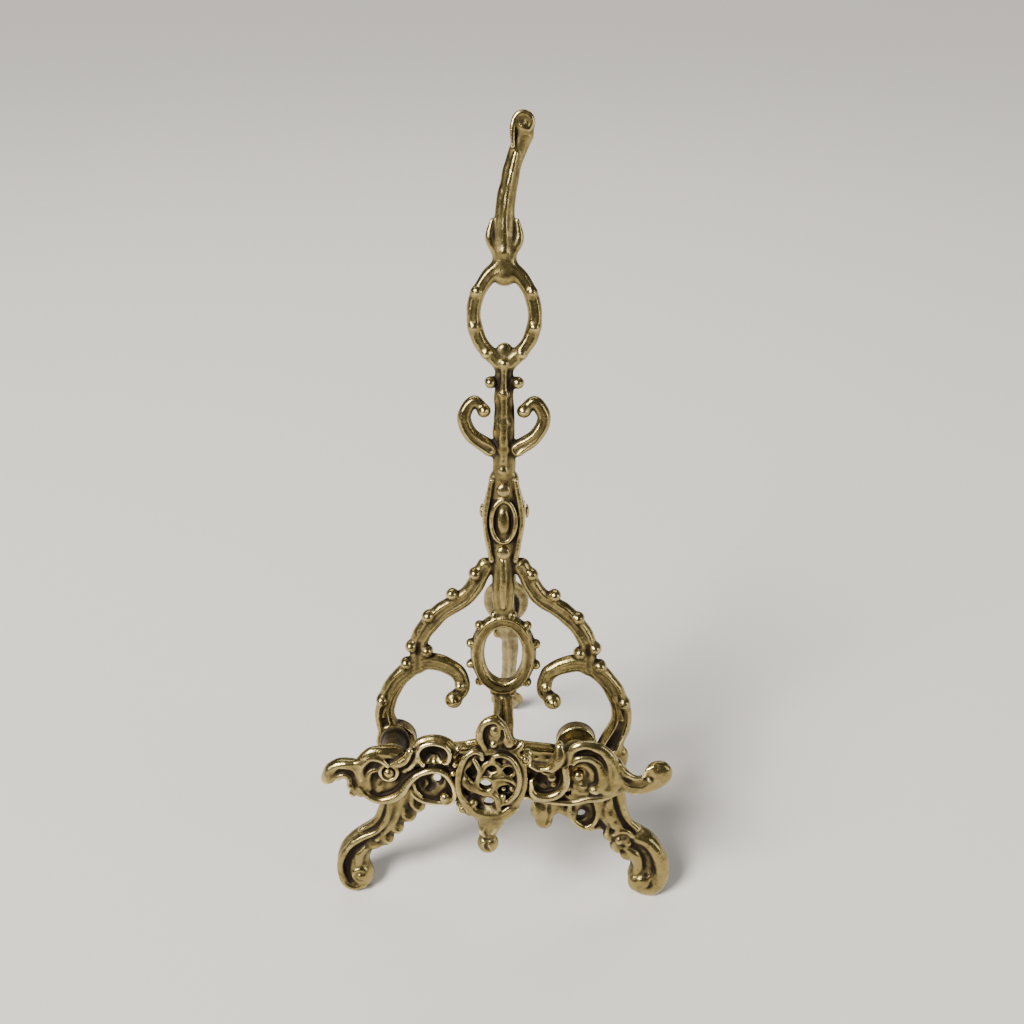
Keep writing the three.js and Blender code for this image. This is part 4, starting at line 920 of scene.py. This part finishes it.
# %% Cast the ledge arms
LEDGES = {"left": (-43.6, 74.0, 5.5, 7.0), "right": (30.0, 70.5, 5.5, 5.5)}
FIT_GAP = 0.3
for side, (x, v, half_width, half_height) in LEDGES.items():
    sleeve = Wax([x - 8, v - 10, -1], [x + 8, v + 10, 19], 0.3)
    sleeve.sheet(on_oval(x, v, half_width - 0.5, half_height - 0.5, count=24), FIT_GAP, BACK - FIT_GAP,
                 edge=0.5)
    for w in (2.2, BACK - 2.2):
        sleeve.rope(on_oval(x, v, half_width - 0.9, half_height - 0.9, count=24), w, 1.4)
    sleeve.drill(*LEDGE_RIVETS[side], LEDGE_HOLE)
    cast(f"ledge_arm_{side}_cast", sleeve, LEANING, LEDGE_SHINE, f"ledge_arm_{side}")

# %% Cast the hinge bracket
bracket = Wax([-10, HINGE_V - 19, -19.5], [10, HINGE_V + 19, -5], 0.27)
EAR_INSIDE, EAR_OUTSIDE, EAR_RADIUS = 6.2, 8.2, 4.2
PLATE_FRONT = -6.3
bracket.sheet(on_oval(0, HINGE_V, EAR_OUTSIDE, 17, count=24), -8.3, PLATE_FRONT, edge=0.45)
for v in BRACKET_RIVETS.values():
    bracket.ball((0, v, -8.0), (4.0, 4.0, 0.6), fillet=0.6)
block, x, v, w = bracket.whole()
across_ear = np.abs(np.abs(x) - (EAR_INSIDE + EAR_OUTSIDE) / 2) - (EAR_OUTSIDE - EAR_INSIDE) / 2
knuckle = np.sqrt((v - HINGE_V) ** 2 + np.minimum(w - HINGE_W, 0) ** 2) - EAR_RADIUS
web = np.maximum(np.maximum(knuckle, w - PLATE_FRONT), across_ear)
bracket.join(block, np.broadcast_to(web, bracket.field.shape).astype(np.float32), 0.5)
bore = np.sqrt((v - HINGE_V) ** 2 + (w - HINGE_W) ** 2) - PIN_RADIUS - PIN_PLAY
bracket.carve(block, np.broadcast_to(bore, bracket.field.shape).astype(np.float32), 0.15)
for v in BRACKET_RIVETS.values():
    bracket.drill(0, v, 3.0, front=-8.4, fillet=0.2)
    bracket.drill(0, v, 1.7)
bracket.keep(lambda x, v, w: w - PLATE_FRONT, fillet=0.2)
cast("hinge_bracket_cast", bracket, LEANING, BRACKET_SHINE, "hinge_bracket")

# %% [markdown]
# ## Rivets, washers and the hinge pin
# These are drawn wire and punched sheet, so they are turned rather than sculpted: a profile of radius
# against length, spun about an axis. Hammering leaves a rivet's head a low dome with a few soft flats, so
# the turned surface is dented a little.

# %% Turn the small pieces
TURNED_SIDES = 56
hammer = np.random.default_rng(17)


def turned(name, profile, centre, axis, *nodes, dents=0.0):
    """Spins (length, radius) points about an axis through a centre, both in the stand's own space, in mm."""
    axis = np.array(axis, float)
    side = np.cross(axis, [0.0, 0.0, 1.0] if abs(axis[2]) < 0.9 else [1.0, 0.0, 0.0])
    side /= np.linalg.norm(side)
    other = np.cross(axis, side)
    points, faces = [], []
    phase = hammer.uniform(0, 2 * math.pi, 4)
    for length, radius in profile:
        for k in range(TURNED_SIDES):
            turn = 2 * math.pi * k / TURNED_SIDES
            uneven = 1 + dents * sum(math.sin(n * turn + phase[n - 2] + length) for n in (2, 3, 5)) / 3
            spoke = side * math.cos(turn) + other * math.sin(turn)
            points.append(centre + axis * length + spoke * radius * uneven)
    rings = len(profile)
    for i in range(rings - 1):
        for k in range(TURNED_SIDES):
            a, b = i * TURNED_SIDES + k, i * TURNED_SIDES + (k + 1) % TURNED_SIDES
            faces.append((a, b, b + TURNED_SIDES, a + TURNED_SIDES))
    closed = profile[0] == profile[-1]
    if not closed:
        faces.append(tuple(range(TURNED_SIDES))[::-1])
        faces.append(tuple(range((rings - 1) * TURNED_SIDES, rings * TURNED_SIDES)))
    mesh = bpy.data.meshes.new(name)
    mesh.from_pydata([tuple(p * MM) for p in points], [], faces)
    if closed:
        weld(mesh)
    mesh.polygons.foreach_set("use_smooth", np.ones(len(mesh.polygons), bool))
    mesh.update()
    piece = bpy.data.objects.new(name, mesh)
    bpy.context.scene.collection.objects.link(piece)
    mesh.set_sharp_from_angle(angle=math.radians(40))
    take_over(piece, *nodes)


def weld(mesh):
    """Joins the first and last ring of a closed profile."""
    work = bmesh.new()
    work.from_mesh(mesh)
    bmesh.ops.remove_doubles(work, verts=work.verts, dist=1e-7)
    work.to_mesh(mesh)
    work.free()


def dome(at, radius, rise, outwards):
    """A rivet head's profile, from its rim to its crown."""
    steps = 8
    arc = [(at + outwards * rise * (0.22 + 0.78 * math.sin(t)), radius * math.cos(t))
           for t in np.linspace(0, math.pi / 2 * 0.97, steps)]
    return [(at, radius * 0.96)] + arc


def rivet_profile(radius, head_radius, back, front, rise):
    """A shank with a domed head at each end."""
    return (dome(back, head_radius, rise, -1)[::-1] + [(back, radius), (front, radius)]
            + dome(front, head_radius, rise, 1))


def at_board(x, v):
    turn, origin = LEANING
    return turn @ np.array([x, v, 0.0]) + origin


for side, (x, v) in LEDGE_RIVETS.items():
    shank = rivet_profile(radius=1.6, head_radius=2.0, back=-7.4, front=22.0, rise=1.9)
    turned(f"ledge_rivet_{side}_turned", shank, at_board(x, v), slope_out, f"ledge_rivet_{side}", dents=0.02)
    ring = [(-7.1, 1.9), (-7.1, 4.05), (-6.95, 4.2), (-6.45, 4.2), (-6.3, 4.05), (-6.3, 1.9), (-7.1, 1.9)]
    turned(f"ledge_washer_{side}_turned", ring, at_board(x, v), slope_out, f"ledge_washer_{side}")
for name, (x, v) in ROSETTE_RIVETS.items():
    shank = rivet_profile(radius=0.9, head_radius=1.15, back=17.7, front=23.5, rise=0.8)
    turned(f"{name}_turned", shank, at_board(x, v), slope_out, name, dents=0.03)
for name, v in BRACKET_RIVETS.items():
    shank = rivet_profile(radius=1.4, head_radius=2.6, back=-8.6, front=0.1, rise=1.5)
    turned(f"{name}_turned", shank, at_board(0, v), slope_out, name, dents=0.02)
pin = rivet_profile(radius=PIN_RADIUS, head_radius=2.8, back=-8.5, front=8.5, rise=1.3)
turned("hinge_pin_turned", pin, hinge_centre, (1, 0, 0), "hinge_pin", dents=0.02)
for side, sign in (("left", -1), ("right", 1)):
    near, far = sign * 4.9, sign * 5.9
    rounding = sign * 0.1
    ring = [(near, 1.7), (near, 3.5), (near + rounding, 3.6), (far - rounding, 3.6), (far, 3.5), (far, 1.7),
            (near, 1.7)]
    turned(f"hinge_washer_{side}_turned", ring[::sign], hinge_centre, (1, 0, 0), f"hinge_washer_{side}")
print("rivets, washers and pin turned")

# %% [markdown]
# ## Nodes written as sums
# A material's nodes are easier to read as arithmetic. A Wire is a value on its way through the nodes, and
# adding or multiplying Wires adds the Math nodes. Every other node comes from one method, Finish.add.

# %% Wires and finishes


class Wire:
    """A value inside a finish. Arithmetic on it adds Math nodes."""

    def __init__(self, finish, socket):
        self.finish, self.socket = finish, socket

    def math(self, operation, first, second):
        return self.finish.add("Math", {"operation": operation}, {0: first, 1: second})

    def __add__(self, other):
        return self.math("ADD", self, other)

    def __sub__(self, other):
        return self.math("SUBTRACT", self, other)

    def __rsub__(self, other):
        return self.math("SUBTRACT", other, self)

    def __mul__(self, other):
        return self.math("MULTIPLY", self, other)

    __radd__, __rmul__ = __add__, __mul__

    def ramp(self, low, high):
        """0 below low and 1 above high, smooth between them. low may be the larger."""
        settings = {"interpolation_type": "SMOOTHSTEP"}
        if low < high:
            return self.finish.add("MapRange", settings, {"Value": self, "From Min": low, "From Max": high})
        return 1 - self.finish.add("MapRange", settings, {"Value": self, "From Min": high, "From Max": low})


class Finish:
    """A material being made. Every node except arithmetic is added here."""

    def __init__(self, name):
        self.material = bpy.data.materials.new(name)
        self.material.use_nodes = True
        self.tree = self.material.node_tree
        self.shader = next(n for n in self.tree.nodes if n.type == "BSDF_PRINCIPLED")

    def add(self, kind, settings, inputs, output=0):
        node = self.tree.nodes.new("ShaderNode" + kind)
        for label, value in settings.items():
            setattr(node, label, value)
        for socket, value in inputs.items():
            self.plug(node.inputs[socket], value)
        return Wire(self, node.outputs[output])

    def plug(self, socket, value):
        if isinstance(value, Wire):
            self.tree.links.new(value.socket, socket)
        else:
            socket.default_value = value

    def surface(self, **values):
        for label, value in values.items():
            self.plug(self.shader.inputs[label.replace("_", " ")], value)

    def tint(self, amount, first, second):
        """From the first colour to the second as amount goes from 0 to 1."""
        return self.add("Mix", {"data_type": "RGBA"}, {"Factor": amount, "A": first, "B": second}, 2)

    def measure(self, label):
        return self.add("Attribute", {"attribute_name": label}, {}, 2)

    def noise(self, size, detail=3.0, rough=0.55):
        """Noise whose features are about size millimetres across."""
        place = self.add("TexCoord", {}, {}, 3)
        return self.add("TexNoise", {}, {"Vector": place, "Scale": 1 / (size * MM), "Detail": detail,
                                         "Roughness": rough})


def linear(red, green, blue):
    """A colour given as on a colour chart, 0 to 255, as light."""
    channels = [c / 255 for c in (red, green, blue)]
    return (*[c / 12.92 if c <= 0.04045 else ((c + 0.055) / 1.055) ** 2.4 for c in channels], 1.0)


# %% [markdown]
# ## Old brass
# Clean brass is a pale yellow mirror. Age lays an olive brown skin over it, thick in the hollows and thin on
# the slopes, and handling takes it off the ridges. So the three measures taken on each casting choose between
# three colours, and noise at a few sizes breaks up the borders. The darkest colour also paints in the shade
# that falls into the hollows and behind the face, so there it is partly tarnish and partly painted shade. The
# skin is also rougher and less metallic.

# %% Mix the brass


def old_brass(name, clean, aged, tarnish_and_shade, wear=0.0, grain=0.6):
    """Cast brass. wear above 0 leaves more of it polished."""
    finish = Finish(name)
    proud = finish.measure("proud")
    sunk = finish.measure("sunk")
    depth = finish.measure("depth")
    cloud = finish.noise(14, 2.0) - 0.5
    mottle = finish.noise(2.6, 4.0, 0.6) - 0.5
    sand = finish.noise(0.42, 2.0, 0.6)
    pits = finish.noise(1.1, 1.0)
    film = finish.noise(5.5, 5.0, 0.7).ramp(0.44, 0.68)
    bright = (proud - sunk * 0.9 - depth * 0.12 + cloud * 0.20 + mottle * 0.24 + wear).ramp(0.04, 0.42)
    # Painted shade as well as tarnish: dark grows where metal closes in above a vertex and deep behind the
    # face.
    dark = (sunk - proud * 0.40 + depth * 0.20 + cloud * 0.10 + mottle * 0.16 - wear).ramp(0.05, 0.27)
    colour = finish.tint(film * 0.42, aged, tarnish_and_shade)
    colour = finish.tint(bright, colour, clean)
    # The hollows take the dark skin colour: tarnish, and painted shade with it.
    colour = finish.tint(dark, colour, tarnish_and_shade)
    colour = finish.tint(pits.ramp(0.66, 0.78) * (1 - bright) * 0.5, colour, tarnish_and_shade)
    finish.surface(
        Base_Color=colour,
        Metallic=1 - dark * 0.35,
        Roughness=0.25 + dark * 0.34 - bright * 0.09 + mottle * 0.18,
    )
    rough_cast = sand * (0.35 + dark * 1.2) + finish.noise(2.4, 3.0) * 2.6 - pits.ramp(0.64, 0.8) * 0.6
    finish.surface(Normal=finish.add("Bump", {},
                                     {"Strength": grain, "Distance": 0.00013, "Height": rough_cast}))
    return finish.material


# The third colour of each brass is its tarnish skin and the painted shade of its hollows.
frame_brass = old_brass("cast_brass", linear(246, 227, 160), linear(160, 143, 92), linear(36, 26, 13))
front_brass = old_brass("gallery_brass", linear(250, 232, 170), linear(160, 143, 92), linear(36, 26, 13))
wire_brass = old_brass("rivet_brass", linear(238, 220, 166), linear(176, 155, 104), linear(48, 38, 22),
                       wear=0.12)
FINISHES = {"cast_brass": frame_brass, "gallery_brass": front_brass, "rivet_brass": wire_brass}
for piece in [o for o in bpy.context.scene.objects if o.type == "MESH" and o.get("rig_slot")]:
    piece.data.materials.clear()
    piece.data.materials.append(FINISHES[piece["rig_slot"]])

# %% [markdown]
# ## The table and the light
# The stand is shown on a plain pale table. One large soft lamp stands at the front left, as a window would,
# a weaker one fills from the right, and a long one above and behind draws the bright line on every rim.
# Soft daylight comes from the window's side too.

# %% Table
table_mesh = bpy.data.meshes.new("table")
REACH_OF_TABLE = 6.0
corners = [(-REACH_OF_TABLE, -REACH_OF_TABLE, 0), (REACH_OF_TABLE, -REACH_OF_TABLE, 0),
           (REACH_OF_TABLE, REACH_OF_TABLE, 0), (-REACH_OF_TABLE, REACH_OF_TABLE, 0)]
table_mesh.from_pydata(corners, [], [(0, 1, 2, 3)])
table = bpy.data.objects.new("table", table_mesh)
bpy.context.scene.collection.objects.link(table)
paper = Finish("pale_table")
paper.surface(Base_Color=linear(236, 231, 223), Roughness=0.75)
table.data.materials.append(paper.material)

# %% Lamps


def lamp(name, place, aim, size, watts, colour):
    light = bpy.data.lights.new(name, "AREA")
    light.shape = "RECTANGLE"
    light.size, light.size_y = size
    light.energy = watts
    light.color = colour
    holder = bpy.data.objects.new(name, light)
    holder.location = place
    holder.rotation_euler = (Vector(aim) - Vector(place)).to_track_quat("-Z", "Y").to_euler()
    bpy.context.scene.collection.objects.link(holder)


WARM_WHITE, COOL_WHITE = (1.0, 0.98, 0.95), (0.96, 0.98, 1.0)
lamp("window_left", (-0.95, -0.75, 1.1), aim=(0, 0, 0.08), size=(0.75, 0.6), watts=22, colour=WARM_WHITE)
lamp("fill_right", (0.95, -0.35, 0.5), aim=(0, 0, 0.1), size=(0.25, 0.6), watts=2.6, colour=COOL_WHITE)
lamp("strip_behind", (-0.1, 0.8, 0.95), aim=(0, 0, 0.12), size=(1.2, 0.2), watts=3.5, colour=WARM_WHITE)
daylight = bpy.data.lights.new("daylight", "SUN")
daylight.energy = 3.1
daylight.angle = math.radians(18)
daylight.color = WARM_WHITE
sun = bpy.data.objects.new("daylight", daylight)
sun.rotation_euler = (-Vector((-0.62, -0.42, 0.95))).to_track_quat("-Z", "Y").to_euler()
bpy.context.scene.collection.objects.link(sun)
world = bpy.data.worlds.new("studio")
world.use_nodes = True
world.node_tree.nodes["Background"].inputs["Color"].default_value = (0.80, 0.79, 0.78, 1)
world.node_tree.nodes["Background"].inputs["Strength"].default_value = 0.15
bpy.context.scene.world = world

# %% [markdown]
# ## The camera
# It is set a little above the stand and looks down at it, as someone does who sits at the table.

# %% Camera
LENS, FILM_WIDTH = 35.86, 36  # mm
EYE = (0.00939, -0.31510, 0.38513)  # metres
camera_data = bpy.data.cameras.new("camera")
camera_data.lens = LENS
camera_data.sensor_width = FILM_WIDTH
camera = bpy.data.objects.new("camera", camera_data)
camera_forward = Vector((-0.01602, 0.81950, -0.57286)).normalized()
camera_up = Vector((-0.01120, 0.57275, 0.81965)).normalized()
camera_right = camera_forward.cross(camera_up)
camera.matrix_world = Matrix.Translation(EYE) @ Matrix(
    (camera_right, camera_up, -camera_forward)).transposed().to_4x4()
bpy.context.scene.collection.objects.link(camera)
bpy.context.scene.camera = camera
